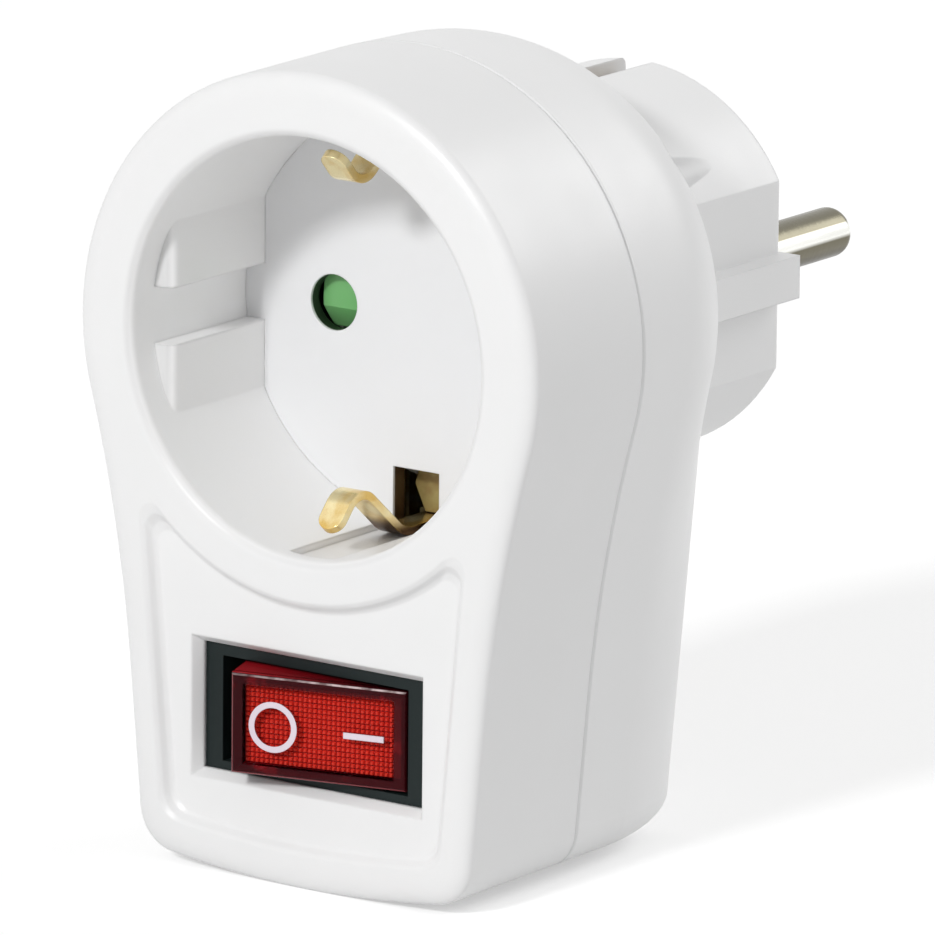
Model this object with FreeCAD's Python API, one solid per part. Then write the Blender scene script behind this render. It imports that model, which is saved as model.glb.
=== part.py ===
import FreeCAD, Part
import math
import os

from FreeCAD import Vector

# Switched plug adapter: an earthed socket in front, an earthed plug behind, and a lit two-pole
# rocker switch between them, in a case of two mouldings.
# Everything is drawn about the socket's axis: X to the right seen from the front, Y from the
# front face towards the wall, Z up. save() then stands the piece on its base, so that the
# origin is the middle of the flat base.

# Case outline, seen from the front
CASE_RIM = 6.1
CASE_WAIST_DRAW = 2.78
CASE_SIDE_TAPER = 5.175
CASE_WAIST_R = 143.0
CASE_CORNER_R = 4.3
CASE_FOOT_BOW_R = 111.0
CASE_FOOT_BELOW_SWITCH = 15.1
FOOT_FLAT_DEPTH = 0.06

# Case depths and walls
CASE_DEPTH = 36.1
SEAM_Y = 17.4
CASE_WALL = 2.0
FRONT_WALL = 2.5
FRONT_ROUND_WIDTH = 2.15
FRONT_ROUND_DEPTH = 1.15
FRONT_DRAFT = 0.1
SEAM_CHAMFER = 0.24
REAR_TAPER_ANGLE = 1.8
REAR_ROUND_DEPTH = 10.6
REAR_ROUND_ANGLE = 48.0
REAR_SIDE_SHARE = 0.52
REAR_WAIST_SHARE = 0.95
REAR_LIFT_SHARE = 0.22
REAR_CORNER_LOSS = 0.3
LIP_LENGTH = 1.6
LIP_WALL = 0.7
LIP_CLEARANCE = 0.1

# Socket recess
PIN_PITCH = 19.0
RECESS_CLEARANCE = 1.1
RECESS_DEPTH = 18.0
RECESS_WALL = 1.8
RECESS_MOUTH_ROUND = 0.9
PAD_REACH = 2.2
PAD_FRONT_Y = 3.6
PAD_ROUND = 1.0
PAD_GROOVE_HALF = 2.68
CHANNEL_HALF_WIDTH = 2.6
CHANNEL_DEPTH = 0.5
CHANNEL_FRONT_Y = 2.0
PIN_HOLE_R = 2.65
FLOOR_WALL = 1.8
EARTH_SLOT_REACH = 5.1

# Sunken panel and switch window
PANEL_DEPTH = 1.1
PANEL_BELOW_RECESS = 4.8
PANEL_FOOT_GAP = 4.2
PANEL_RIM = 3.93
PANEL_CORNER_R = 2.5
PANEL_SHOULDER_R = 1.3
PANEL_EDGE_FLARE = 0.9
WINDOW_HALF_X = 12.4
WINDOW_HALF_Z = 6.0
WINDOW_ABOVE_SWITCH = 0.2
WINDOW_BEVEL = 0.7

# Plug
PLUG_RIM = 9.0
PLUG_LENGTH = 17.5
PLUG_FLAT_DEPTH = 2.3
PLUG_WALL = 2.2
PLUG_END_WALL = 2.5
PLUG_END_ROUND = 0.8
PLUG_RIB_DROP = 0.2
PLUG_RIB_HALF = 2.05
PLUG_NOTCH_HALF = 1.75
PLUG_NOTCH_DEPTH = 2.3
PLUG_NOTCH_WALL = 1.6
PIN_R = 2.4
PIN_LENGTH = 19.0
PIN_TIP_ROUND = 1.3
PIN_FLANGE_R = 3.4
PIN_FLANGE_LENGTH = 1.5
PIN_COLLAR_R = 2.8
PIN_TAIL_R = 1.6
PIN_HEAD_R = 2.7
PIN_HEAD_LENGTH = 1.0

# Housing screws and their posts
UPPER_SCREW_ANGLE = 39.6
UPPER_SCREW_RIM = 1.05
LOWER_SCREW_X = 13.85
LOWER_SCREW_BELOW_SWITCH = 7.0
POST_R = 2.1
POST_END_Y = 24.0
SCREW_R = 1.4
SCREW_LENGTH = 7.0
SCREW_HEAD_R = 2.1
SCREW_HEAD_HEIGHT = 1.8
SCREW_SEAT_WALL = 3.0
UPPER_POCKET_R = 3.2
LOWER_POCKET_R = 2.7
POCKET_TAPER = 6.9
POCKET_WALL = 0.7

# Posts and screws inside the rear case
CLAMP_R = 1.2
CARRIER_CLAMP_ANGLE = 26.6
CARRIER_CLAMP_INSET = 1.25
SWITCH_CLAMP_X = 6.0
HOLDER_WALL = 2.5
HOLDER_SCREW_Z = 10.0
HOLDER_BOSS_R = 2.4
HOLDER_SCREW_LENGTH = 4.9

# Shutter, contact carrier and earth strips
SHUTTER_THICKNESS = 2.7
SHUTTER_ROOM_DEPTH = 0.4
SHUTTER_CLEARANCE = 0.2
SHUTTER_COVER = 2.35
SHUTTER_HALF_WIDTH = 2.9
SHUTTER_HUB_R = 3.4
SHUTTER_RAMP = 1.3
SHUTTER_LUG_REACH = 7.0
SHUTTER_LUG_HALF = 0.8
SHUTTER_SPRING_Z = 6.0
SHUTTER_SPRING_LENGTH = 5.2
PIVOT_PIN_R = 1.2
CHAMBER_CLEARANCE = 0.75
CHAMBER_WALL = 1.4
CARRIER_INSET = 3.1
CARRIER_WALL = 2.3
CARRIER_TUBE_WALL = 1.2
CARRIER_TUBE_LENGTH = 1.2
CARRIER_SCREW_ANGLE = 60.0
CARRIER_SCREW_INSET = 0.4
CARRIER_BOSS_R = 2.0
CARRIER_SCREW_LENGTH = 5.2
SMALL_SCREW_R = 1.0
SMALL_SCREW_HEAD_R = 2.0
SMALL_SCREW_HEAD_HEIGHT = 1.3
SLEEVE_INNER_R = 2.45
SLEEVE_WALL = 0.75
SLEEVE_END_GAP = 0.1
SLEEVE_SLOT_HALF = 0.5
SLEEVE_RING_LENGTH = 3.0
STRIP_THICKNESS = 0.8
STRIP_HALF_WIDTH = 2.0
EARTH_SPAN_HALF = 2.5
EARTH_CLIP_HALF = 1.3
EARTH_CREST_REACH = 6.1
EARTH_CREST_Y = 7.6
EARTH_CREST_R = 2.4
EARTH_FOOT_Y = 14.5
EARTH_FOOT_R = 3.6
EARTH_CURL_Y = 5.1
EARTH_CURL_REACH = 2.95
EARTH_RIVET_R = 1.2
EARTH_RIVET_HEAD_R = 2.2
EARTH_RIVET_HEAD_HEIGHT = 0.8
PLUG_EARTH_HALF = 1.6
PLUG_EARTH_LENGTH = 16.0

# Live strips between the contacts and the switch; the shares divide the room behind the carrier
LEFT_SOCKET_STRIP_SHARE = 0.075
RIGHT_SOCKET_STRIP_SHARE = 0.37
PIN_STRIP_SHARE = 0.69
PIN_STRIP_DROP = 8.4
STRIP_RING_R = 4.0
RIGHT_SOCKET_STRIP_DROP = 24.5
STRIP_CROSS_HEIGHT = 3.0

# Rocker switch
SWITCH_DROP = 35.6
ROCKER_PIVOT_Y = 8.0
ROCKER_TILT = 13.0
ROCKER_FACE = 7.6
ROCKER_HALF_LENGTH = 8.7
ROCKER_HALF_HEIGHT = 4.75
ROCKER_END_FLARE = 0.5
ROCKER_SKIRT = 2.0
ROCKER_WALL = 0.9
ROCKER_EDGE_ROUND = 0.45
MARK_X = 4.5
MARK_R = 2.4
MARK_STROKE = 0.58
MARK_BAR_LENGTH = 4.0
MARK_DEPTH = 0.15
DIFFUSER_THICKNESS = 0.9
DIFFUSER_CLEARANCE = 0.05
LAMP_R = 0.95
LAMP_LENGTH = 7.6
RESISTOR_R = 0.8
RESISTOR_LENGTH = 4.0
HUB_HALF_X = 2.2
HUB_HALF_Z = 4.6
HUB_REACH = 3.4
HUB_PLATE_FRONT = 3.8
HUB_PLATE_WALL = 0.8
TRUNNION_R = 1.4
TRUNNION_REACH = 6.2
TRUNNION_CLEARANCE = 0.05
FRAME_HALF_X = 13.3
FRAME_HALF_Z = 6.9
FRAME_PLATE_WALL = 1.4
FRAME_OPENING_HALF_X = 10.5
FRAME_OPENING_HALF_Z = 5.0
BOX_WALL = 1.1
BOX_SIDE_GAP = 0.3
BASE_WALL = 1.6
POLE_OFFSET = 2.6
PLUNGER_R = 1.0
PLUNGER_BORE_CLEARANCE = 0.05
PLUNGER_TIP_R = 0.8
PLUNGER_REACH = 7.15
PLUNGER_START = 1.4
PLUNGER_SHOULDER = 5.4
PLUNGER_BORE_DEPTH = 6.0
PLUNGER_SPRING_LENGTH = 3.8
KNIFE_REACH = 7.8
KNIFE_GAP = 0.02
LEVER_RATIO = -0.5
LEVER_THICKNESS = 0.6
LEVER_LEFT = 8.7
LEVER_RIGHT = 5.5
LEVER_HALF_WIDTH = 1.6
CONTACT_X = 7.4
CONTACT_R = 1.25
CONTACT_THICKNESS = 0.5
CONTACT_GAP = 0.03
PAD_THICKNESS = 0.6
BLADE_THICKNESS = 0.8
BLADE_HALF_WIDTH = 2.0
BLADE_END_GAP = 1.0
LOAD_BLADE_RIGHT = 5.6

# Clearances shared by the fixed pieces
FIT = 0.02
GAP = 0.3

# Places that follow from the sizes above
HALF_PITCH = PIN_PITCH / 2
PLUG_R = HALF_PITCH + PLUG_RIM
PLUG_FLAT_HALF = PLUG_R - PLUG_FLAT_DEPTH
PLUG_RIB_REACH = PLUG_R - PLUG_RIB_DROP
PLUG_NOTCH_FLOOR = PLUG_R - PLUG_NOTCH_DEPTH
RECESS_R = PLUG_R + RECESS_CLEARANCE
PAD_HALF_SPACING = RECESS_R - PAD_REACH
CHANNEL_REACH = RECESS_R + CHANNEL_DEPTH
EARTH_SLOT_INNER = RECESS_R - EARTH_SLOT_REACH
CASE_TOP_R = RECESS_R + CASE_RIM
AXIS_HEIGHT = SWITCH_DROP + CASE_FOOT_BELOW_SWITCH
PANEL_TOP_R = RECESS_R + PANEL_BELOW_RECESS
WINDOW_DROP = SWITCH_DROP - WINDOW_ABOVE_SWITCH
LOWER_SCREW_DROP = SWITCH_DROP + LOWER_SCREW_BELOW_SWITCH
SHUTTER_R = HALF_PITCH + SHUTTER_COVER
CHAMBER_R = SHUTTER_R + CHAMBER_CLEARANCE
CARRIER_R = RECESS_R - CARRIER_INSET
SHUTTER_ROOM_Y = RECESS_DEPTH + FLOOR_WALL - SHUTTER_ROOM_DEPTH
CARRIER_FRONT_Y = SHUTTER_ROOM_Y + SHUTTER_THICKNESS + 2 * SHUTTER_CLEARANCE
CARRIER_BACK_Y = CARRIER_FRONT_Y + CARRIER_WALL
FLOOR_BACK_Y = RECESS_DEPTH + FLOOR_WALL
REAR_WALL_Y = CASE_DEPTH - CASE_WALL
PLUG_END_Y = CASE_DEPTH + PLUG_LENGTH
PLUG_INNER_END_Y = PLUG_END_Y - PLUG_END_WALL
HOLDER_BACK_Y = PLUG_INNER_END_Y - PIN_FLANGE_LENGTH
HOLDER_FRONT_Y = HOLDER_BACK_Y - HOLDER_WALL
PIN_STRIP_BACK_Y = HOLDER_FRONT_Y - STRIP_THICKNESS
SLEEVE_OUTER_R = SLEEVE_INNER_R + SLEEVE_WALL
SLEEVE_END_Y = REAR_WALL_Y - SLEEVE_END_GAP
STRIP_ROOM_Y = CARRIER_BACK_Y + CARRIER_TUBE_LENGTH
STRIP_ROOM = REAR_WALL_Y - STRIP_ROOM_Y
LEFT_SOCKET_STRIP_Y = STRIP_ROOM_Y + STRIP_ROOM * LEFT_SOCKET_STRIP_SHARE
RIGHT_SOCKET_STRIP_Y = STRIP_ROOM_Y + STRIP_ROOM * RIGHT_SOCKET_STRIP_SHARE
PIN_STRIP_Y = STRIP_ROOM_Y + STRIP_ROOM * PIN_STRIP_SHARE
BLADE_END_Y = LEFT_SOCKET_STRIP_Y - BLADE_END_GAP
EARTH_LEG_OUTER = CHANNEL_REACH - 0.1
EARTH_LEG_INNER = EARTH_LEG_OUTER - STRIP_THICKNESS
SCREW_SEAT_Y = POST_END_Y + SCREW_SEAT_WALL
SWITCH_CENTRE = Vector(0, ROCKER_PIVOT_Y, -SWITCH_DROP)
LEVER_TILT = ROCKER_TILT * LEVER_RATIO
POLE_LEVELS = (POLE_OFFSET, -POLE_OFFSET)


def polar(radius, angle):
    """The (x, z) of a place about the socket's axis, at an angle above the right-hand side."""
    turn = math.radians(angle)
    return radius * math.cos(turn), radius * math.sin(turn)


SCREW_PLACES = [
    (*polar(RECESS_R + UPPER_SCREW_RIM, UPPER_SCREW_ANGLE), UPPER_POCKET_R),
    (LOWER_SCREW_X, -LOWER_SCREW_DROP, LOWER_POCKET_R),
]


# Small solids


def block(x0, x1, y0, y1, z0, z1):
    return Part.makeBox(x1 - x0, y1 - y0, z1 - z0, Vector(x0, y0, z0))


def rod(radius, x, z, y0, y1):
    """A cylinder along Y."""
    return Part.makeCylinder(radius, y1 - y0, Vector(x, y0, z), Vector(0, 1, 0))


def upright_rod(radius, x, y, z0, z1):
    """A cylinder along Z."""
    return Part.makeCylinder(radius, z1 - z0, Vector(x, y, z0), Vector(0, 0, 1))


def level_rod(radius, y, z, x0, x1):
    """A cylinder along X."""
    return Part.makeCylinder(radius, x1 - x0, Vector(x0, y, z), Vector(1, 0, 0))


def plan_prism(points, z0, z1):
    """An upright prism over a polygon of (x, y) corners."""
    corners = [Vector(x, y, z0) for x, y in points]
    face = Part.Face(Part.makePolygon(corners + corners[:1]))
    return face.extrude(Vector(0, 0, z1 - z0))


def joined(first, *others):
    return first.fuse(list(others)).removeSplitter()


def both_sides(shape):
    """A shape and its mirror image in the middle plane, as one list."""
    return [shape, shape.mirror(Vector(0, 0, 0), Vector(1, 0, 0))]


def top_and_bottom(shape):
    """A shape and its mirror image below the socket's axis, as one list."""
    return [shape, shape.mirror(Vector(0, 0, 0), Vector(0, 0, 1))]


def coil_spring(mean_r, wire_r, length, turns):
    """A helical spring along Z from the origin."""
    path = Part.makeHelix((length - 2 * wire_r) / turns, length - 2 * wire_r, mean_r)
    section = Part.Wire(Part.makeCircle(wire_r, Vector(mean_r, 0, 0), Vector(0, 1, 0)))
    spring = Part.Wire(path.Edges).makePipeShell([section], True, True)
    spring.translate(Vector(0, 0, wire_r))
    return spring


def save(name, shape):
    """Stand a finished piece on the base's middle and write it."""
    placed = shape.copy()
    placed.translate(Vector(0, -CASE_DEPTH / 2, AXIS_HEIGHT))
    placed.exportStep(f"parts/{name}.step")
    print(name, len(placed.Solids), round(placed.Volume, 2), placed.isValid())


# Case outline


def side_normal():
    taper = math.radians(CASE_SIDE_TAPER)
    return Vector(math.cos(taper), 0, -math.sin(taper))


def side_direction():
    taper = math.radians(CASE_SIDE_TAPER)
    return Vector(-math.sin(taper), 0, -math.cos(taper))


def side_distance(inset):
    """How far the straight lower side lies from the socket's axis."""
    return CASE_TOP_R - CASE_WAIST_DRAW - inset


def side_x(z):
    """Where the straight lower side is at a height."""
    taper = math.radians(CASE_SIDE_TAPER)
    return (side_distance(0) + math.sin(taper) * z) / math.cos(taper)


def corner_centre(distance, radius, foot_z, bow_r):
    """The centre of a round that touches a side at a distance and the bowed foot."""
    outward = side_normal() * (distance - radius)
    bow_centre = Vector(0, 0, foot_z + bow_r)
    offset = outward - bow_centre
    along = offset.dot(side_direction())
    reach = along ** 2 - offset.dot(offset) + (bow_r - radius) ** 2
    return outward + side_direction() * (math.sqrt(reach) - along)


def bowed_corner(distance, radius, foot_z, bow_r):
    """The start, middle and end of the round between a side and the bowed foot."""
    centre = corner_centre(distance, radius, foot_z, bow_r)
    down = (centre - Vector(0, 0, foot_z + bow_r)).normalize()
    middle = (side_normal() + down).normalize()
    return [centre + heading * radius for heading in (side_normal(), middle, down)]


def mirrored_point(point):
    return Vector(-point.x, point.y, point.z)


def case_wire(y, top_inset=0.0, side_inset=0.0, lift=0.0, corner_r=CASE_CORNER_R):
    """The case's outline at a depth: round top, hollow waist, straight sides, bowed foot."""
    normal = side_normal()
    top_r = CASE_TOP_R - top_inset
    distance = side_distance(side_inset)
    across = distance + CASE_WAIST_R
    along = math.sqrt((top_r + CASE_WAIST_R) ** 2 - across ** 2)
    waist = normal * across + side_direction() * along
    to_top = Vector(waist).normalize()
    shoulder = to_top * top_r
    hip = waist - normal * CASE_WAIST_R
    waist_middle = waist - (to_top + normal).normalize() * CASE_WAIST_R
    foot_z = -AXIS_HEIGHT - FOOT_FLAT_DEPTH + lift
    corner = bowed_corner(distance, corner_r, foot_z, CASE_FOOT_BOW_R)
    right = [Vector(p.x, y, p.z) for p in (shoulder, waist_middle, hip, *corner)]
    left = [mirrored_point(p) for p in right]
    edges = [
        Part.Arc(left[0], Vector(0, y, top_r), right[0]).toShape(),
        Part.Arc(right[0], right[1], right[2]).toShape(),
        Part.LineSegment(right[2], right[3]).toShape(),
        Part.Arc(right[3], right[4], right[5]).toShape(),
        Part.Arc(right[5], Vector(0, y, foot_z), left[5]).toShape(),
        Part.Arc(left[5], left[4], left[3]).toShape(),
        Part.LineSegment(left[3], left[2]).toShape(),
        Part.Arc(left[2], left[1], left[0]).toShape(),
    ]
    return Part.Wire(edges)


def inset_wire(y, inset, lift=0.0):
    """The case's outline drawn in evenly, as for its inner walls."""
    corner_r = max(CASE_CORNER_R - inset, CASE_WALL)
    return case_wire(y, inset, inset, lift, corner_r)


def above_base(body):
    """A case body with its bowed foot made flat where it stands."""
    wide = 2 * CASE_TOP_R
    return body.common(block(-wide, wide, -CASE_DEPTH, 2 * CASE_DEPTH, -AXIS_HEIGHT, wide))


def ring_wall(outer_inset, inner_inset, y0, y1):
    """A wall that follows the case's outline between two insets."""
    outer = Part.makeLoft([inset_wire(y, outer_inset, outer_inset) for y in (y0, y1)], True, True)
    inner = Part.makeLoft([inset_wire(y, inner_inset, inner_inset) for y in (y0, y1)], True, True)
    return outer.cut(inner)


def rear_stations():
    """Depths and insets of the rear case: a straight taper, then the round to its back face."""
    start = math.radians(REAR_TAPER_ANGLE)
    end = math.radians(REAR_ROUND_ANGLE)
    radius = REAR_ROUND_DEPTH / (math.sin(end) - math.sin(start))
    taper_end = CASE_DEPTH - REAR_ROUND_DEPTH
    taper_inset = (taper_end - SEAM_Y) * math.tan(start)
    stations = []
    steps = 6
    for step in range(steps + 1):
        angle = start + (end - start) * step / steps
        y = taper_end + radius * (math.sin(angle) - math.sin(start))
        stations.append((y, taper_inset + radius * (math.cos(start) - math.cos(angle))))
    return stations


def rear_wire(y, inset, wall=0.0):
    """The rear case's outline: its lower sides and foot draw in less than its top."""
    taper_inset = rear_stations()[0][1]
    lift = max(inset - taper_inset, 0.0) * REAR_LIFT_SHARE
    side = max(inset * REAR_SIDE_SHARE, inset - CASE_WAIST_DRAW * REAR_WAIST_SHARE)
    corner_r = max(CASE_CORNER_R - inset * REAR_CORNER_LOSS - wall, CASE_WALL)
    return case_wire(y, inset + wall, side + wall, lift + wall, corner_r)


def front_wire(y, rounding):
    """The front case's outline at a depth, drawn in by its draft and by the front edge's round."""
    draft = FRONT_DRAFT * (1 - y / SEAM_Y)
    corner_r = CASE_CORNER_R - rounding * 0.6
    return case_wire(y, draft + rounding, draft + rounding, rounding, corner_r)


def front_body():
    steps = 6
    wires = []
    for step in range(steps + 1):
        angle = math.pi / 2 * step / steps
        y = FRONT_ROUND_DEPTH * (1 - math.cos(angle))
        wires.append(front_wire(y, FRONT_ROUND_WIDTH * (1 - math.sin(angle))))
    front = Part.makeLoft(wires, True, False)
    sides = [
        wires[-1],
        front_wire(SEAM_Y - SEAM_CHAMFER, 0),
        case_wire(SEAM_Y, SEAM_CHAMFER, SEAM_CHAMFER, SEAM_CHAMFER),
    ]
    return above_base(joined(front, Part.makeLoft(sides, True, True)))


def rear_body():
    stations = rear_stations()
    taper_start = [
        case_wire(SEAM_Y, SEAM_CHAMFER, SEAM_CHAMFER, SEAM_CHAMFER),
        case_wire(SEAM_Y + SEAM_CHAMFER),
        rear_wire(*stations[0]),
    ]
    taper = Part.makeLoft(taper_start, True, True)
    back = Part.makeLoft([rear_wire(*station) for station in stations], True, False)
    return above_base(joined(taper, back))


def panel_wire(y, grow):
    """The sunken panel's outline: it follows the recess above and the case's sides below."""
    normal = side_normal()
    top_r = PANEL_TOP_R - grow
    distance = side_distance(PANEL_RIM) + grow
    foot_z = -AXIS_HEIGHT + PANEL_FOOT_GAP - grow
    inside = distance - PANEL_SHOULDER_R
    along = math.sqrt((top_r + PANEL_SHOULDER_R) ** 2 - inside ** 2)
    centre = normal * inside + side_direction() * along
    inward = (centre * -1).normalize()
    shoulder = [
        centre + heading * PANEL_SHOULDER_R
        for heading in (inward, (inward + normal).normalize(), normal)
    ]
    corner = bowed_corner(distance, PANEL_CORNER_R, foot_z, CASE_FOOT_BOW_R)
    right = [Vector(p.x, y, p.z) for p in (*shoulder, *corner)]
    left = [mirrored_point(p) for p in right]
    edges = [
        Part.Arc(left[0], Vector(0, y, -top_r), right[0]).toShape(),
        Part.Arc(right[0], right[1], right[2]).toShape(),
        Part.LineSegment(right[2], right[3]).toShape(),
        Part.Arc(right[3], right[4], right[5]).toShape(),
        Part.Arc(right[5], Vector(0, y, foot_z), left[5]).toShape(),
        Part.Arc(left[5], left[4], left[3]).toShape(),
        Part.LineSegment(left[3], left[2]).toShape(),
        Part.Arc(left[2], left[1], left[0]).toShape(),
    ]
    return Part.Wire(edges)


def panel_cut():
    """The space above the sunken panel, with its edges eased at the top and the foot."""
    flare = PANEL_EDGE_FLARE
    wires = [
        panel_wire(-PANEL_DEPTH, flare),
        panel_wire(0, flare),
        panel_wire(PANEL_DEPTH * 0.25, flare * 0.55),
        panel_wire(PANEL_DEPTH * 0.75, flare * 0.2),
        panel_wire(PANEL_DEPTH, -flare * 0.2),
    ]
    return Part.makeLoft(wires, True, True)


def rectangle(y, half_x, half_z, centre_z):
    corners = [
        Vector(-half_x, y, centre_z - half_z),
        Vector(half_x, y, centre_z - half_z),
        Vector(half_x, y, centre_z + half_z),
        Vector(-half_x, y, centre_z + half_z),
    ]
    return Part.makePolygon(corners + corners[:1])


def window_cut():
    """The switch window, bevelled from the sunken panel inwards."""
    top_y = PANEL_DEPTH
    low_y = top_y + WINDOW_BEVEL * 1.5
    wide_x = WINDOW_HALF_X + WINDOW_BEVEL
    wide_z = WINDOW_HALF_Z + WINDOW_BEVEL
    wires = [
        rectangle(top_y - WINDOW_BEVEL, wide_x, wide_z, -WINDOW_DROP),
        rectangle(top_y, wide_x, wide_z, -WINDOW_DROP),
        rectangle(low_y, WINDOW_HALF_X, WINDOW_HALF_Z, -WINDOW_DROP),
        rectangle(FRONT_WALL + GAP, WINDOW_HALF_X, WINDOW_HALF_Z, -WINDOW_DROP),
    ]
    return Part.makeLoft(wires, True, True)


def side_pad():
    """The right-hand guide pad of the recess, split by its groove."""
    pad = rod(RECESS_R + RECESS_WALL / 2, 0, 0, PAD_FRONT_Y, RECESS_DEPTH)
    pad = pad.common(block(PAD_HALF_SPACING, 2 * RECESS_R, 0, RECESS_DEPTH, -RECESS_R, RECESS_R))
    corner = [
        edge for edge in pad.Edges
        if edge.BoundBox.XMax < PAD_HALF_SPACING + FIT and edge.BoundBox.YMax < PAD_FRONT_Y + FIT
    ]
    pad = pad.makeFillet(PAD_ROUND, corner)
    return pad.cut(block(0, 2 * RECESS_R, 0, RECESS_DEPTH, -PAD_GROOVE_HALF, PAD_GROOVE_HALF))


def front_housing():
    body = front_body()
    cavity = Part.makeLoft(
        [
            inset_wire(FRONT_WALL, CASE_WALL + FRONT_DRAFT, CASE_WALL),
            inset_wire(SEAM_Y + GAP, CASE_WALL, CASE_WALL),
        ],
        True,
        True,
    )
    shell = body.cut(cavity)
    cup = rod(RECESS_R + RECESS_WALL, 0, 0, FRONT_WALL / 2, RECESS_DEPTH)
    upper_x, upper_z, _pocket = SCREW_PLACES[0]
    upper_post = rod(POST_R, upper_x, upper_z, FRONT_WALL / 2, POST_END_Y)
    low_start = FRONT_WALL + FRAME_PLATE_WALL + LIP_CLEARANCE * 2
    lower_post = rod(POST_R, LOWER_SCREW_X, -LOWER_SCREW_DROP, low_start, POST_END_Y)
    rib_reach = side_x(-LOWER_SCREW_DROP) - CASE_WALL / 2
    rib = block(
        LOWER_SCREW_X,
        rib_reach,
        low_start,
        SEAM_Y - LIP_LENGTH - GAP,
        -LOWER_SCREW_DROP - POST_R / 2,
        -LOWER_SCREW_DROP + POST_R / 2,
    )
    shell = joined(shell, cup, *both_sides(upper_post), *both_sides(lower_post), *both_sides(rib))
    shell = shell.cut(rod(RECESS_R, 0, 0, -FRONT_WALL, FLOOR_BACK_Y))
    mouth = [
        edge for edge in shell.Edges
        if edge.BoundBox.YMax < FIT and abs(edge.BoundBox.ZMax - RECESS_R) < FIT
    ]
    shell = shell.makeFillet(RECESS_MOUTH_ROUND, mouth)
    channel = block(
        -CHANNEL_HALF_WIDTH,
        CHANNEL_HALF_WIDTH,
        CHANNEL_FRONT_Y,
        RECESS_DEPTH,
        RECESS_R / 2,
        CHANNEL_REACH,
    )
    shell = joined(shell, *both_sides(side_pad()))
    screw_hole_start = POST_END_Y - SCREW_LENGTH + SCREW_SEAT_WALL - GAP
    holes = []
    for x, z, _pocket in SCREW_PLACES:
        holes += both_sides(rod(SCREW_R + FIT, x, z, screw_hole_start, POST_END_Y))
    shell = shell.cut([panel_cut(), window_cut(), *top_and_bottom(channel), *holes])
    return shell


def clamp_places():
    """Where the rear case's posts press on the contact carrier and on the switch."""
    switch_wall = -SWITCH_DROP - FRAME_OPENING_HALF_Z - BOX_SIDE_GAP - BOX_WALL / 2
    return [
        (*polar(CARRIER_R - CARRIER_CLAMP_INSET, CARRIER_CLAMP_ANGLE), CARRIER_BACK_Y),
        (SWITCH_CLAMP_X, switch_wall, ROCKER_PIVOT_Y + box_reach()),
    ]


def plug_core():
    core = rod(PLUG_R, 0, 0, REAR_WALL_Y, PLUG_END_Y)
    core = core.common(block(-PLUG_FLAT_HALF, PLUG_FLAT_HALF, 0, PLUG_END_Y, -PLUG_R, PLUG_R))
    end_edges = [edge for edge in core.Edges if edge.BoundBox.YMin > PLUG_END_Y - FIT]
    return core.makeFillet(PLUG_END_ROUND, end_edges)


def plug_cavity(y0, y1, shrink=0.0):
    """The plug's inner space, which is also the outline of what fits inside it."""
    half_x = PLUG_FLAT_HALF - PLUG_WALL - shrink
    half_z = PLUG_NOTCH_FLOOR - PLUG_NOTCH_WALL - shrink
    inner_r = PLUG_R - PLUG_WALL - shrink
    return rod(inner_r, 0, 0, y0, y1).common(block(-half_x, half_x, y0, y1, -half_z, half_z))


def screw_pocket(x, z, radius):
    """Room for a screw's head and driver, narrowing until it is clear of the plug's side."""
    seat = rod(radius, x, z, SCREW_SEAT_Y, CASE_DEPTH)
    end_r = radius / 5
    length = (radius - end_r) / math.tan(math.radians(POCKET_TAPER))
    beside = Part.makeCone(radius, end_r, length, Vector(x, CASE_DEPTH, z), Vector(0, 1, 0))
    return seat.fuse(beside)


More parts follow.
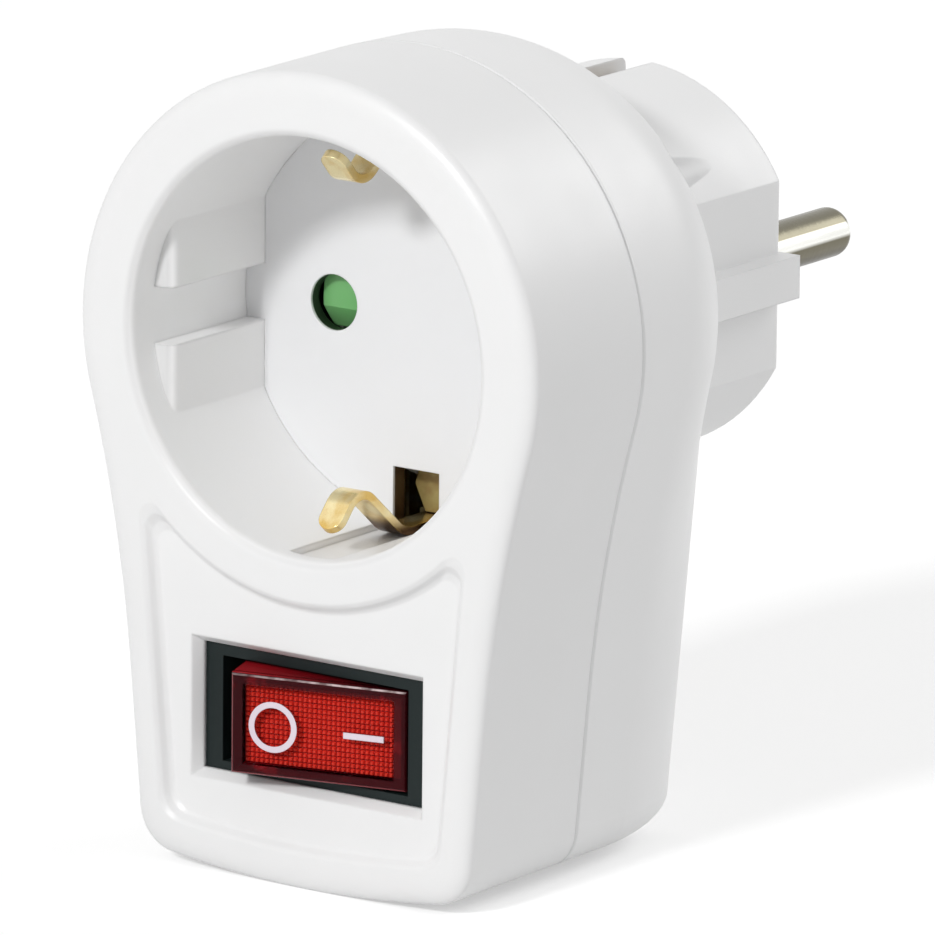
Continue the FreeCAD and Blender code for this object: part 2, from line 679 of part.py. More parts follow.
def rear_housing():
    stations = rear_stations()
    body = rear_body()
    inner_back = REAR_WALL_Y
    back_inset = stations[0][1] + (stations[-1][1] - stations[0][1]) * 0.62
    cavity = Part.makeLoft(
        [
            rear_wire(SEAM_Y - GAP, 0.0, CASE_WALL),
            rear_wire(*stations[0], CASE_WALL),
            rear_wire(inner_back, back_inset, CASE_WALL),
        ],
        True,
        True,
    )
    rib = block(
        -PLUG_RIB_REACH, PLUG_RIB_REACH, REAR_WALL_Y, PLUG_END_Y, -PLUG_RIB_HALF, PLUG_RIB_HALF
    )
    plug = joined(plug_core(), rib)
    seat_posts = []
    post_root = REAR_WALL_Y + CASE_WALL / 2
    for x, z, pocket_r in SCREW_PLACES:
        seat_posts += both_sides(rod(pocket_r + POCKET_WALL, x, z, POST_END_Y + FIT, post_root))
    clamps = []
    for x, z, start in clamp_places():
        clamps += both_sides(rod(CLAMP_R, x, z, start + FIT, post_root))
    lip_inset = CASE_WALL + LIP_CLEARANCE
    lip = ring_wall(lip_inset, lip_inset + LIP_WALL, SEAM_Y - LIP_LENGTH, SEAM_Y)
    lip_root = ring_wall(CASE_WALL * 0.75, lip_inset + LIP_WALL, SEAM_Y, SEAM_Y + LIP_LENGTH)
    shell = body.cut(cavity)
    posts = joined(seat_posts[0], *seat_posts[1:], *clamps).common(body)
    shell = joined(shell, plug, posts, lip, lip_root)
    holder_boss = rod(HOLDER_BOSS_R, 0, HOLDER_SCREW_Z, HOLDER_BACK_Y + FIT, PLUG_INNER_END_Y)
    notch = block(
        -PLUG_NOTCH_HALF, PLUG_NOTCH_HALF, REAR_WALL_Y - FIT, PLUG_END_Y, PLUG_NOTCH_FLOOR, PLUG_R
    )
    slot = block(
        -PLUG_NOTCH_HALF,
        PLUG_NOTCH_HALF,
        SEAM_Y + LIP_LENGTH,
        CASE_DEPTH,
        PLUG_NOTCH_FLOOR,
        PLUG_NOTCH_FLOOR + STRIP_THICKNESS + LIP_CLEARANCE,
    )
    notch = notch.common(block(-PLUG_R, PLUG_R, CASE_DEPTH, PLUG_END_Y, -PLUG_R, PLUG_R))
    cuts = [plug_cavity(REAR_WALL_Y, PLUG_INNER_END_Y), *top_and_bottom(notch), *top_and_bottom(slot)]
    for x, z, pocket_r in SCREW_PLACES:
        cuts += both_sides(screw_pocket(x, z, pocket_r))
        cuts += both_sides(rod(SCREW_R + LIP_CLEARANCE, x, z, POST_END_Y, SCREW_SEAT_Y))
    cuts += both_sides(rod(PIN_COLLAR_R + FIT, HALF_PITCH, 0, PLUG_INNER_END_Y, PLUG_END_Y))
    shell = shell.cut(cuts)
    shell = joined(shell, *top_and_bottom(holder_boss))
    hole_end = HOLDER_FRONT_Y + HOLDER_SCREW_LENGTH + GAP
    screw_hole = rod(SMALL_SCREW_R + FIT, 0, HOLDER_SCREW_Z, HOLDER_BACK_Y, hole_end)
    return shell.cut(top_and_bottom(screw_hole))


# Screws


def housing_screws():
    screws = []
    seat = SCREW_SEAT_Y + FIT
    top = seat + SCREW_HEAD_HEIGHT
    for x, z, _pocket in SCREW_PLACES:
        head = rod(SCREW_HEAD_R, x, z, seat, top)
        shank = rod(SCREW_R, x, z, seat - SCREW_LENGTH, seat)
        screws += both_sides(joined(head, shank).cut(cross_slot(x, z, top)))
    return Part.makeCompound(screws)


def cross_slot(x, z, y):
    """The cross in a screw's head, with its top at y."""
    half = 0.3
    reach = 1.3
    depth = 0.9
    level = block(x - reach, x + reach, y - depth, y, z - half, z + half)
    upright = block(x - half, x + half, y - depth, y, z - reach, z + reach)
    return level.fuse(upright)


def small_screw(x, z, seat_y, length, heading):
    """A small screw whose head sits at seat_y; heading is 1 where it points to the wall."""
    if heading > 0:
        head = rod(SMALL_SCREW_HEAD_R, x, z, seat_y - FIT - SMALL_SCREW_HEAD_HEIGHT, seat_y - FIT)
        return joined(head, rod(SMALL_SCREW_R, x, z, seat_y - FIT, seat_y - FIT + length))
    head = rod(SMALL_SCREW_HEAD_R, x, z, seat_y + FIT, seat_y + FIT + SMALL_SCREW_HEAD_HEIGHT)
    return joined(head, rod(SMALL_SCREW_R, x, z, seat_y + FIT - length, seat_y + FIT))


# Socket base, shutter and carrier


def carrier_screw_places():
    x, z = polar(CARRIER_R - CARRIER_SCREW_INSET, CARRIER_SCREW_ANGLE)
    return [(x, z), (-x, -z)]


def socket_base():
    plate = rod(RECESS_R + RECESS_WALL - LIP_CLEARANCE, 0, 0, RECESS_DEPTH, FLOOR_BACK_Y)
    plate = plate.cut(rod(CHAMBER_R, 0, 0, SHUTTER_ROOM_Y, FLOOR_BACK_Y))
    ring = rod(CHAMBER_R + CHAMBER_WALL, 0, 0, FLOOR_BACK_Y, CARRIER_FRONT_Y)
    ring = ring.cut(rod(CHAMBER_R, 0, 0, FLOOR_BACK_Y, CARRIER_FRONT_Y))
    bosses = [rod(CARRIER_BOSS_R, x, z, FLOOR_BACK_Y, CARRIER_FRONT_Y) for x, z in carrier_screw_places()]
    stop_x = SHUTTER_LUG_HALF + SHUTTER_SPRING_LENGTH
    stop = block(
        stop_x,
        stop_x + CHAMBER_WALL,
        SHUTTER_ROOM_Y,
        CARRIER_FRONT_Y - SHUTTER_CLEARANCE,
        SHUTTER_SPRING_Z - 1.2,
        SHUTTER_SPRING_Z + 1.2,
    )
    base = joined(plate, ring, *bosses, stop)
    slot = block(
        -CHANNEL_HALF_WIDTH,
        CHANNEL_HALF_WIDTH,
        RECESS_DEPTH,
        CARRIER_FRONT_Y,
        EARTH_SLOT_INNER,
        CHANNEL_REACH,
    )
    upper_x, upper_z, _pocket = SCREW_PLACES[0]
    post_room = rod(POST_R + LIP_CLEARANCE, upper_x, upper_z, RECESS_DEPTH, FLOOR_BACK_Y)
    post_room = post_room.cut(rod(RECESS_R - FIT, 0, 0, RECESS_DEPTH, FLOOR_BACK_Y))
    cuts = both_sides(rod(PIN_HOLE_R, HALF_PITCH, 0, RECESS_DEPTH, FLOOR_BACK_Y))
    cuts += both_sides(post_room)
    cuts += top_and_bottom(slot)
    cuts.append(rod(PIVOT_PIN_R + FIT, 0, 0, FLOOR_BACK_Y - FLOOR_WALL / 2, FLOOR_BACK_Y))
    screw_tip = CARRIER_BACK_Y - CARRIER_SCREW_LENGTH
    for x, z in carrier_screw_places():
        cuts.append(rod(SMALL_SCREW_R + FIT, x, z, screw_tip - LIP_CLEARANCE, CARRIER_FRONT_Y))
    return base.cut(cuts)


def shutter_rotor():
    front = SHUTTER_ROOM_Y + SHUTTER_CLEARANCE
    back = front + SHUTTER_THICKNESS
    wings = rod(SHUTTER_R, 0, 0, front, back)
    wings = wings.common(
        block(-SHUTTER_R, SHUTTER_R, front, back, -SHUTTER_HALF_WIDTH, SHUTTER_HALF_WIDTH)
    )
    lug = block(
        -SHUTTER_LUG_HALF, SHUTTER_LUG_HALF, front, back, 0, SHUTTER_LUG_REACH
    )
    rotor = joined(wings, rod(SHUTTER_HUB_R, 0, 0, front, back), lug)
    # The ramps that a plug's pins push aside: below on the left wing, above on the right one.
    slope_start = HALF_PITCH - PIN_HOLE_R - GAP
    ramp_points = [
        Vector(slope_start, front, SHUTTER_HALF_WIDTH - SHUTTER_RAMP * 1.6),
        Vector(slope_start, front + SHUTTER_RAMP, SHUTTER_HALF_WIDTH),
        Vector(slope_start, front, SHUTTER_HALF_WIDTH),
    ]
    ramp_face = Part.Face(Part.makePolygon(ramp_points + ramp_points[:1]))
    ramp = ramp_face.extrude(Vector(SHUTTER_R, 0, 0))
    turned = ramp.copy()
    turned.rotate(Vector(0, 0, 0), Vector(0, 1, 0), 180)
    return rotor.cut([ramp, turned, rod(PIVOT_PIN_R + PLUNGER_BORE_CLEARANCE, 0, 0, front, back)])


def shutter_pivot():
    start = FLOOR_BACK_Y - FLOOR_WALL / 2 + FIT
    return rod(PIVOT_PIN_R, 0, 0, start, CARRIER_FRONT_Y + CARRIER_WALL * 0.4)


def shutter_spring():
    spring = coil_spring(0.75, 0.16, SHUTTER_SPRING_LENGTH - 2 * FIT, 6)
    spring.rotate(Vector(0, 0, 0), Vector(0, 1, 0), 90)
    middle_y = (FLOOR_BACK_Y + CARRIER_FRONT_Y) / 2
    spring.translate(Vector(SHUTTER_LUG_HALF + FIT, middle_y, SHUTTER_SPRING_Z))
    return spring


def contact_carrier():
    plate = rod(CARRIER_R, 0, 0, CARRIER_FRONT_Y, CARRIER_BACK_Y)
    tube_r = SLEEVE_OUTER_R + CARRIER_TUBE_WALL
    tubes = both_sides(rod(tube_r, HALF_PITCH, 0, CARRIER_BACK_Y, CARRIER_BACK_Y + CARRIER_TUBE_LENGTH))
    carrier = joined(plate, *tubes)
    cuts = both_sides(
        rod(SLEEVE_OUTER_R + FIT, HALF_PITCH, 0, CARRIER_FRONT_Y, CARRIER_BACK_Y + CARRIER_TUBE_LENGTH)
    )
    notch = block(
        -EARTH_SPAN_HALF - GAP * 2,
        EARTH_SPAN_HALF + GAP * 2,
        CARRIER_FRONT_Y,
        CARRIER_BACK_Y,
        EARTH_SLOT_INNER - CHAMBER_WALL / 2,
        CARRIER_R,
    )
    cuts += top_and_bottom(notch)
    cuts += [
        rod(SMALL_SCREW_R + LIP_CLEARANCE, x, z, CARRIER_FRONT_Y, CARRIER_BACK_Y)
        for x, z in carrier_screw_places()
    ]
    cuts.append(rod(PIVOT_PIN_R + FIT, 0, 0, CARRIER_FRONT_Y, CARRIER_FRONT_Y + CARRIER_WALL * 0.4 + FIT))
    rivet_room = EARTH_RIVET_HEAD_HEIGHT + FIT
    cuts.append(rod(EARTH_RIVET_HEAD_R + FIT, 0, 0, CARRIER_BACK_Y - rivet_room, CARRIER_BACK_Y))
    return carrier.cut(cuts)


def carrier_screws():
    return Part.makeCompound(
        [small_screw(x, z, CARRIER_BACK_Y, CARRIER_SCREW_LENGTH, -1) for x, z in carrier_screw_places()]
    )


def socket_contact(side):
    """A sprung sleeve that grips a plug's pin, split into an upper and a lower jaw."""
    x = side * HALF_PITCH
    front = CARRIER_FRONT_Y + FIT
    sleeve = rod(SLEEVE_OUTER_R, x, 0, front, SLEEVE_END_Y)
    slot = block(
        x - PIN_PITCH / 4,
        x + PIN_PITCH / 4,
        front,
        SLEEVE_END_Y - SLEEVE_RING_LENGTH,
        -SLEEVE_SLOT_HALF,
        SLEEVE_SLOT_HALF,
    )
    return sleeve.cut([rod(SLEEVE_INNER_R, x, 0, front, SLEEVE_END_Y), slot])


# Earth strips


def clip_path():
    """The lower clip's centre line, from the tip of its curl to its foot in the channel."""
    half = STRIP_THICKNESS / 2
    foot = Vector(0, EARTH_FOOT_Y, EARTH_LEG_INNER + half)
    crest = Vector(0, EARTH_CREST_Y, RECESS_R - EARTH_CREST_REACH + half)
    curl = Vector(0, EARTH_CURL_Y, RECESS_R - EARTH_CURL_REACH)
    return curl, crest, foot


def rounded_strip(points, radii, half_width, thickness):
    """A bent strip along straight runs joined by arcs, in the plane X = 0."""
    edges = []
    start = points[0]
    for index, radius in enumerate(radii, start=1):
        corner = points[index]
        into = (corner - points[index - 1]).normalize()
        out = (points[index + 1] - corner).normalize()
        turn = into.getAngle(out)
        reach = radius * math.tan(turn / 2)
        first = corner - into * reach
        last = corner + out * reach
        inner = (out - into).normalize()
        middle = corner + inner * (radius / math.cos(turn / 2) - radius)
        edges.append(Part.LineSegment(start, first).toShape())
        edges.append(Part.Arc(first, middle, last).toShape())
        start = last
    edges.append(Part.LineSegment(start, points[-1]).toShape())
    path = Part.Wire(edges)
    heading = (points[1] - points[0]).normalize()
    side = Vector(1, 0, 0)
    up = heading.cross(side).normalize()
    origin = points[0]
    corners = [
        origin + side * half_width + up * (thickness / 2),
        origin - side * half_width + up * (thickness / 2),
        origin - side * half_width - up * (thickness / 2),
        origin + side * half_width - up * (thickness / 2),
    ]
    section = Part.makePolygon(corners + corners[:1])
    return path.makePipeShell([section], True, False)


def lower_clip():
    curl, crest, foot = clip_path()
    end = Vector(0, CARRIER_BACK_Y, foot.z)
    points = [Vector(0, p.y, -p.z) for p in (curl, crest, foot, end)]
    bends = [EARTH_CREST_R, EARTH_FOOT_R]
    clip = rounded_strip(points, bends, EARTH_CLIP_HALF, STRIP_THICKNESS)
    tip = points[0]
    heading = (tip - points[1]).normalize()
    across = heading.cross(Vector(1, 0, 0))
    base = tip - across * STRIP_THICKNESS
    rounding = Part.makeCylinder(EARTH_CLIP_HALF, 2 * STRIP_THICKNESS, base, across)
    tongue = rounded_strip([tip, tip + heading * EARTH_CLIP_HALF], [], EARTH_CLIP_HALF, STRIP_THICKNESS)
    return joined(clip, tongue.common(rounding))


def socket_earth_bow():
    clips = top_and_bottom(lower_clip())
    span = block(
        -EARTH_SPAN_HALF,
        EARTH_SPAN_HALF,
        CARRIER_BACK_Y,
        CARRIER_BACK_Y + STRIP_THICKNESS,
        -EARTH_LEG_OUTER,
        EARTH_LEG_OUTER,
    )
    shoulders = top_and_bottom(
        block(
            -EARTH_SPAN_HALF,
            EARTH_SPAN_HALF,
            SHUTTER_ROOM_Y + SHUTTER_THICKNESS,
            CARRIER_BACK_Y + STRIP_THICKNESS,
            EARTH_LEG_INNER,
            EARTH_LEG_OUTER,
        )
    )
    bow = joined(span, *clips, *shoulders)
    hole = rod(EARTH_RIVET_R + FIT, 0, 0, CARRIER_BACK_Y, CARRIER_BACK_Y + STRIP_THICKNESS)
    return bow.cut(hole)


def plug_earth_bow():
    front = CARRIER_BACK_Y + STRIP_THICKNESS
    outer = PLUG_NOTCH_FLOOR + STRIP_THICKNESS
    span = block(-EARTH_SPAN_HALF, EARTH_SPAN_HALF, front, front + STRIP_THICKNESS, -outer, outer)
    legs = top_and_bottom(
        block(
            -PLUG_EARTH_HALF,
            PLUG_EARTH_HALF,
            front,
            CASE_DEPTH + PLUG_EARTH_LENGTH,
            PLUG_NOTCH_FLOOR + FIT,
            outer,
        )
    )
    bow = joined(span, *legs)
    return bow.cut(rod(EARTH_RIVET_R + FIT, 0, 0, front, front + STRIP_THICKNESS))


def earth_rivet():
    front = CARRIER_BACK_Y - EARTH_RIVET_HEAD_HEIGHT
    back = CARRIER_BACK_Y + 2 * STRIP_THICKNESS
    shank = rod(EARTH_RIVET_R, 0, 0, front, back + EARTH_RIVET_HEAD_HEIGHT)
    front_head = rod(EARTH_RIVET_HEAD_R, 0, 0, front, CARRIER_BACK_Y)
    back_head = rod(EARTH_RIVET_HEAD_R, 0, 0, back, back + EARTH_RIVET_HEAD_HEIGHT)
    return joined(shank, front_head, back_head)


# Plug pins and their holder


def plug_pin(side):
    x = side * HALF_PITCH
    pin = rod(PIN_R, x, 0, PLUG_END_Y, PLUG_END_Y + PIN_LENGTH)
    tip = [edge for edge in pin.Edges if edge.BoundBox.YMin > PLUG_END_Y + PIN_LENGTH - FIT]
    pin = pin.makeFillet(PIN_TIP_ROUND, tip)
    collar = rod(PIN_COLLAR_R, x, 0, PLUG_INNER_END_Y, PLUG_END_Y)
    flange = rod(PIN_FLANGE_R, x, 0, HOLDER_BACK_Y, PLUG_INNER_END_Y)
    tail = rod(PIN_TAIL_R, x, 0, PIN_STRIP_BACK_Y - PIN_HEAD_LENGTH, HOLDER_BACK_Y)
    head = rod(PIN_HEAD_R, x, 0, PIN_STRIP_BACK_Y - PIN_HEAD_LENGTH, PIN_STRIP_BACK_Y)
    return joined(pin, collar, flange, tail, head)


def pin_holder():
    holder = plug_cavity(HOLDER_FRONT_Y, HOLDER_BACK_Y, LIP_CLEARANCE)
    screw_hole = rod(SMALL_SCREW_R + LIP_CLEARANCE, 0, HOLDER_SCREW_Z, HOLDER_FRONT_Y, HOLDER_BACK_Y)
    cuts = both_sides(rod(PIN_TAIL_R + FIT, HALF_PITCH, 0, HOLDER_FRONT_Y, HOLDER_BACK_Y))
    cuts += top_and_bottom(screw_hole)
    return holder.cut(cuts)


def holder_screws():
    screw = small_screw(0, HOLDER_SCREW_Z, HOLDER_FRONT_Y, HOLDER_SCREW_LENGTH, 1)
    return Part.makeCompound(top_and_bottom(screw))


# Live strips


def pole_z(pole):
    """The level of a switch pole: 1 is the upper one, -1 the lower one."""
    return -SWITCH_DROP + pole * POLE_OFFSET


def tab_z(pole):
    """The level of the underside of a tab, just above its blade."""
    return pole_z(pole) + BLADE_THICKNESS / 2 + FIT


def tab(pole, x0, x1, y1):
    """A tab that lies along a switch blade's top, back to the strip that it belongs to."""
    start = ROCKER_PIVOT_Y + box_reach() + GAP
    low = tab_z(pole)
    return block(x0, x1, start, y1, low, low + STRIP_THICKNESS)


def sleeve_ring(side, y):
    """A collar round a socket contact, at the top of its strip."""
    x = side * HALF_PITCH
    ring = block(x - STRIP_RING_R, x + STRIP_RING_R, y, y + STRIP_THICKNESS, -STRIP_RING_R, STRIP_RING_R)
    return ring.cut(rod(SLEEVE_OUTER_R + FIT, x, 0, y, y + STRIP_THICKNESS))


def left_socket_strip():
    y = LEFT_SOCKET_STRIP_Y
    back = y + STRIP_THICKNESS
    x0 = -HALF_PITCH - STRIP_HALF_WIDTH
    foot = tab_z(-1)
    upright = block(x0, -HALF_PITCH + STRIP_HALF_WIDTH, y, back, foot, -STRIP_RING_R + GAP)
    cross = block(x0, -LOAD_BLADE_RIGHT, y, back, foot, foot + STRIP_CROSS_HEIGHT)
    return joined(sleeve_ring(-1, y), upright, cross, tab(-1, load_blade_left(), -LOAD_BLADE_RIGHT, back))


def right_socket_strip():
    y = RIGHT_SOCKET_STRIP_Y
    back = y + STRIP_THICKNESS
    x1 = HALF_PITCH + STRIP_HALF_WIDTH
    level = -RIGHT_SOCKET_STRIP_DROP
    foot = level - STRIP_CROSS_HEIGHT
    low = tab_z(1)
    upright = block(HALF_PITCH - STRIP_HALF_WIDTH, x1, y, back, foot, -STRIP_RING_R + GAP)
    cross = block(load_blade_left(), x1, y, back, foot, level)
    drop = block(load_blade_left(), -LOAD_BLADE_RIGHT, y, back, low, level)
    narrow = -HALF_PITCH + STRIP_HALF_WIDTH + GAP
    return joined(sleeve_ring(1, y), upright, cross, drop, tab(1, narrow, -LOAD_BLADE_RIGHT, back))


def pin_strip(side):
    """A strip from a plug pin's tail forwards, down, and across to the switch's middle blade."""
    pole = side
    x = side * HALF_PITCH
    y = PIN_STRIP_Y
    front = y + STRIP_THICKNESS
    x0 = x - STRIP_HALF_WIDTH
    x1 = x + STRIP_HALF_WIDTH
    head_half = PIN_HEAD_R + GAP
    head = block(
        x - head_half, x + head_half, PIN_STRIP_BACK_Y, HOLDER_FRONT_Y, -PIN_STRIP_DROP, head_half
    ).cut(rod(PIN_TAIL_R + FIT, x, 0, PIN_STRIP_BACK_Y, HOLDER_FRONT_Y))
    shelf = block(x0, x1, y, HOLDER_FRONT_Y, -PIN_STRIP_DROP - STRIP_THICKNESS, -PIN_STRIP_DROP)
    foot = pole_z(pole) - STRIP_CROSS_HEIGHT * 0.4
    upright = block(x0, x1, y, front, foot, -PIN_STRIP_DROP)
    inner = -side * BLADE_HALF_WIDTH
    cross = block(min(inner, x0), max(inner, x1), y, front, foot, foot + STRIP_CROSS_HEIGHT)
    return joined(head, shelf, upright, cross, tab(pole, -BLADE_HALF_WIDTH, BLADE_HALF_WIDTH, front))


# Switch: fixed pieces


def contact_reach():
    """How far behind the rocker's pivot a closed lever contact reaches at its lowest point."""
    tilt = math.radians(abs(LEVER_TILT))
    outer = CONTACT_X + CONTACT_R
    return KNIFE_REACH + outer * math.sin(tilt) + CONTACT_THICKNESS * math.cos(tilt) + CONTACT_GAP


def base_reach():
    """How far behind the pivot the switch base starts."""
    return contact_reach() + CONTACT_THICKNESS + PAD_THICKNESS


def box_reach():
    """How far behind the pivot the switch's case ends."""
    return base_reach() + BASE_WALL


def load_blade_left():
    return -CONTACT_X - CONTACT_R


def at_switch(shape):
    placed = shape.copy()
    placed.translate(SWITCH_CENTRE)
    return placed


def switch_frame():
    front = FRONT_WALL - ROCKER_PIVOT_Y
    plate_back = front + FRAME_PLATE_WALL
    inner_x = FRAME_OPENING_HALF_X
    inner_z = FRAME_OPENING_HALF_Z + BOX_SIDE_GAP
    outer_x = inner_x + BOX_WALL
    outer_z = inner_z + BOX_WALL
    plate = block(-FRAME_HALF_X, FRAME_HALF_X, front, plate_back, -FRAME_HALF_Z, FRAME_HALF_Z)
    walls = block(-outer_x, outer_x, plate_back, box_reach(), -outer_z, outer_z)
    opening = block(-inner_x, inner_x, front, plate_back, -FRAME_OPENING_HALF_Z, FRAME_OPENING_HALF_Z)
    cavity = block(-inner_x, inner_x, plate_back, box_reach(), -inner_z, inner_z)
    hole = upright_rod(TRUNNION_R + TRUNNION_CLEARANCE, 0, 0, -FRAME_HALF_Z, FRAME_HALF_Z)
    return at_switch(joined(plate, walls).cut([opening, cavity, hole]))


def switch_base():
    half_x = FRAME_OPENING_HALF_X - LIP_CLEARANCE
    half_z = FRAME_OPENING_HALF_Z + BOX_SIDE_GAP - LIP_CLEARANCE
    base = block(-half_x, half_x, base_reach(), box_reach(), -half_z, half_z)
    cuts = []
    for pole in (1, -1):
        z0 = pole * POLE_OFFSET - BLADE_THICKNESS / 2 - FIT
        z1 = z0 + BLADE_THICKNESS + 2 * FIT
        cuts.append(block(-BLADE_HALF_WIDTH - FIT, BLADE_HALF_WIDTH + FIT, 0, box_reach(), z0, z1))
        cuts.append(block(load_blade_left() - FIT, -LOAD_BLADE_RIGHT + FIT, 0, box_reach(), z0, z1))
    return at_switch(base.cut(cuts))


def pivot_terminal(pole):
    """The middle blade of a pole, with the edge on which its lever rocks."""
    tip = KNIFE_REACH + KNIFE_GAP
    shoulder = contact_reach()
    end = BLADE_END_Y - ROCKER_PIVOT_Y
    half = BLADE_HALF_WIDTH
    points = [(0, tip), (half, shoulder), (half, end), (-half, end), (-half, shoulder)]
    z = pole * POLE_OFFSET
    return at_switch(plan_prism(points, z - BLADE_THICKNESS / 2, z + BLADE_THICKNESS / 2))


def load_terminal(pole):
    """The outer blade of a pole, with the pad that carries its fixed contact."""
    x0 = load_blade_left()
    x1 = -LOAD_BLADE_RIGHT
    z = pole * POLE_OFFSET
    top = base_reach() - PAD_THICKNESS
    end = BLADE_END_Y - ROCKER_PIVOT_Y
    half = BLADE_THICKNESS / 2
    pad = block(x0, x1, top, base_reach(), z - LEVER_HALF_WIDTH, z + LEVER_HALF_WIDTH)
    blade = block(x0, x1, top, end, z - half, z + half)
    return at_switch(joined(pad, blade))


def fixed_contacts():
    """The silver contacts on the outer blades, one to each pole."""
    top = contact_reach()
    contacts = [rod(CONTACT_R, -CONTACT_X, z, top, top + CONTACT_THICKNESS) for z in POLE_LEVELS]
    return at_switch(Part.makeCompound(contacts))


# Switch: moving pieces


def rocked(shape):
    """Tilt a rocker piece from its middle position to the one at rest, and put it in place."""
    placed = shape.copy()
    placed.rotate(Vector(0, 0, 0), Vector(0, 0, 1), ROCKER_TILT)
    placed.translate(SWITCH_CENTRE)
    return placed


def rocker_profile(inset, front, back):
    flare = ROCKER_END_FLARE
    half = ROCKER_HALF_LENGTH - inset
    return [(-half, front), (half, front), (half + flare, back), (-half - flare, back)]


def mark_ring():
    ring = rod(MARK_R, -MARK_X, 0, -ROCKER_FACE, -ROCKER_FACE + MARK_DEPTH)
    return ring.cut(rod(MARK_R - MARK_STROKE, -MARK_X, 0, -ROCKER_FACE, -ROCKER_FACE + MARK_DEPTH))


def mark_bar():
    return block(
        MARK_X - MARK_BAR_LENGTH / 2,
        MARK_X + MARK_BAR_LENGTH / 2,
        -ROCKER_FACE,
        -ROCKER_FACE + MARK_DEPTH,
        -MARK_STROKE / 2,
        MARK_STROKE / 2,
    )


def rocker_lens():
    half_z = ROCKER_HALF_HEIGHT
    body = plan_prism(rocker_profile(0, -ROCKER_FACE, -ROCKER_SKIRT), -half_z, half_z)
    face_edges = [edge for edge in body.Edges if edge.BoundBox.YMax < -ROCKER_FACE + FIT]
    body = body.makeFillet(ROCKER_EDGE_ROUND, face_edges)
    inner_z = half_z - ROCKER_WALL
    cavity = plan_prism(
        rocker_profile(ROCKER_WALL, -ROCKER_FACE + ROCKER_WALL, -ROCKER_SKIRT), -inner_z, inner_z
    )
    return rocked(body.cut([cavity, mark_ring(), mark_bar()]))


def rocker_marks():
    return rocked(Part.makeCompound([mark_ring(), mark_bar()]))


def rocker_diffuser():
    front = -ROCKER_FACE + ROCKER_WALL + FIT
    half_x = ROCKER_HALF_LENGTH - ROCKER_WALL - DIFFUSER_CLEARANCE
    half_z = ROCKER_HALF_HEIGHT - ROCKER_WALL - DIFFUSER_CLEARANCE
    return rocked(block(-half_x, half_x, front, front + DIFFUSER_THICKNESS, -half_z, half_z))


def lamp_y():
    """The middle of the space between the diffuser and the rocker's plate."""
    front = -ROCKER_FACE + ROCKER_WALL + FIT + DIFFUSER_THICKNESS
    return (front - HUB_PLATE_FRONT) / 2


def neon_lamp():
    tube = level_rod(LAMP_R, lamp_y(), 0, 0, LAMP_LENGTH)
    tip = [edge for edge in tube.Edges if edge.BoundBox.XMin > LAMP_LENGTH - FIT]
    return rocked(tube.makeFillet(LAMP_R / 2, tip))


def lamp_resistor():
    return rocked(level_rod(RESISTOR_R, lamp_y(), 0, -GAP - RESISTOR_LENGTH, -GAP))


def rocker_carrier():
    """The moulding behind the lens, with the rocker's trunnions and plunger bores."""
    inner_x = ROCKER_HALF_LENGTH - ROCKER_WALL
    inner_z = ROCKER_HALF_HEIGHT - ROCKER_WALL - DIFFUSER_CLEARANCE
    plate_back = -HUB_PLATE_FRONT + HUB_PLATE_WALL
    plate = block(-inner_x, inner_x, -HUB_PLATE_FRONT, plate_back, -inner_z, inner_z)
    neck = block(-HUB_HALF_X, HUB_HALF_X, plate_back, -TRUNNION_R, -inner_z, inner_z)
    hub = block(-HUB_HALF_X, HUB_HALF_X, -TRUNNION_R, HUB_REACH, -HUB_HALF_Z, HUB_HALF_Z)
    trunnion = upright_rod(TRUNNION_R, 0, 0, -TRUNNION_REACH, TRUNNION_REACH)
    bore_end = HUB_REACH - PLUNGER_BORE_DEPTH
    bores = [rod(PLUNGER_R + PLUNGER_BORE_CLEARANCE, 0, z, bore_end, HUB_REACH) for z in POLE_LEVELS]
    return rocked(joined(plate, neck, hub, trunnion).cut(bores))


def plunger(pole):
    """A sprung plunger that tips its lever over as the rocker turns."""
    z = pole * POLE_OFFSET
    tip_centre = PLUNGER_REACH - PLUNGER_TIP_R
    body = rod(PLUNGER_R, 0, z, PLUNGER_START, PLUNGER_SHOULDER)
    nose = rod(PLUNGER_TIP_R, 0, z, PLUNGER_SHOULDER, tip_centre)
    tip = Part.makeSphere(PLUNGER_TIP_R, Vector(0, tip_centre, z))
    return rocked(joined(body, nose, tip))


def plunger_spring(pole):
    spring = coil_spring(0.72, 0.21, PLUNGER_SPRING_LENGTH, 5)
    spring.rotate(Vector(0, 0, 0), Vector(1, 0, 0), -90)
    spring.translate(Vector(0, PLUNGER_START - FIT - PLUNGER_SPRING_LENGTH, pole * POLE_OFFSET))
    return rocked(spring)


def levered(shape, pole):
    """Tilt a lever piece to its place at rest on its terminal's edge."""
    placed = shape.copy()
    placed.rotate(Vector(0, 0, 0), Vector(0, 0, 1), LEVER_TILT)
    placed.translate(SWITCH_CENTRE + Vector(0, KNIFE_REACH, pole * POLE_OFFSET))
    return placed


def contact_lever(pole):
    strip = block(-LEVER_LEFT, LEVER_RIGHT, -LEVER_THICKNESS, 0, -LEVER_HALF_WIDTH, LEVER_HALF_WIDTH)
    return levered(strip.cut(rod(CONTACT_R / 2 + FIT, -CONTACT_X, 0, -LEVER_THICKNESS, 0)), pole)


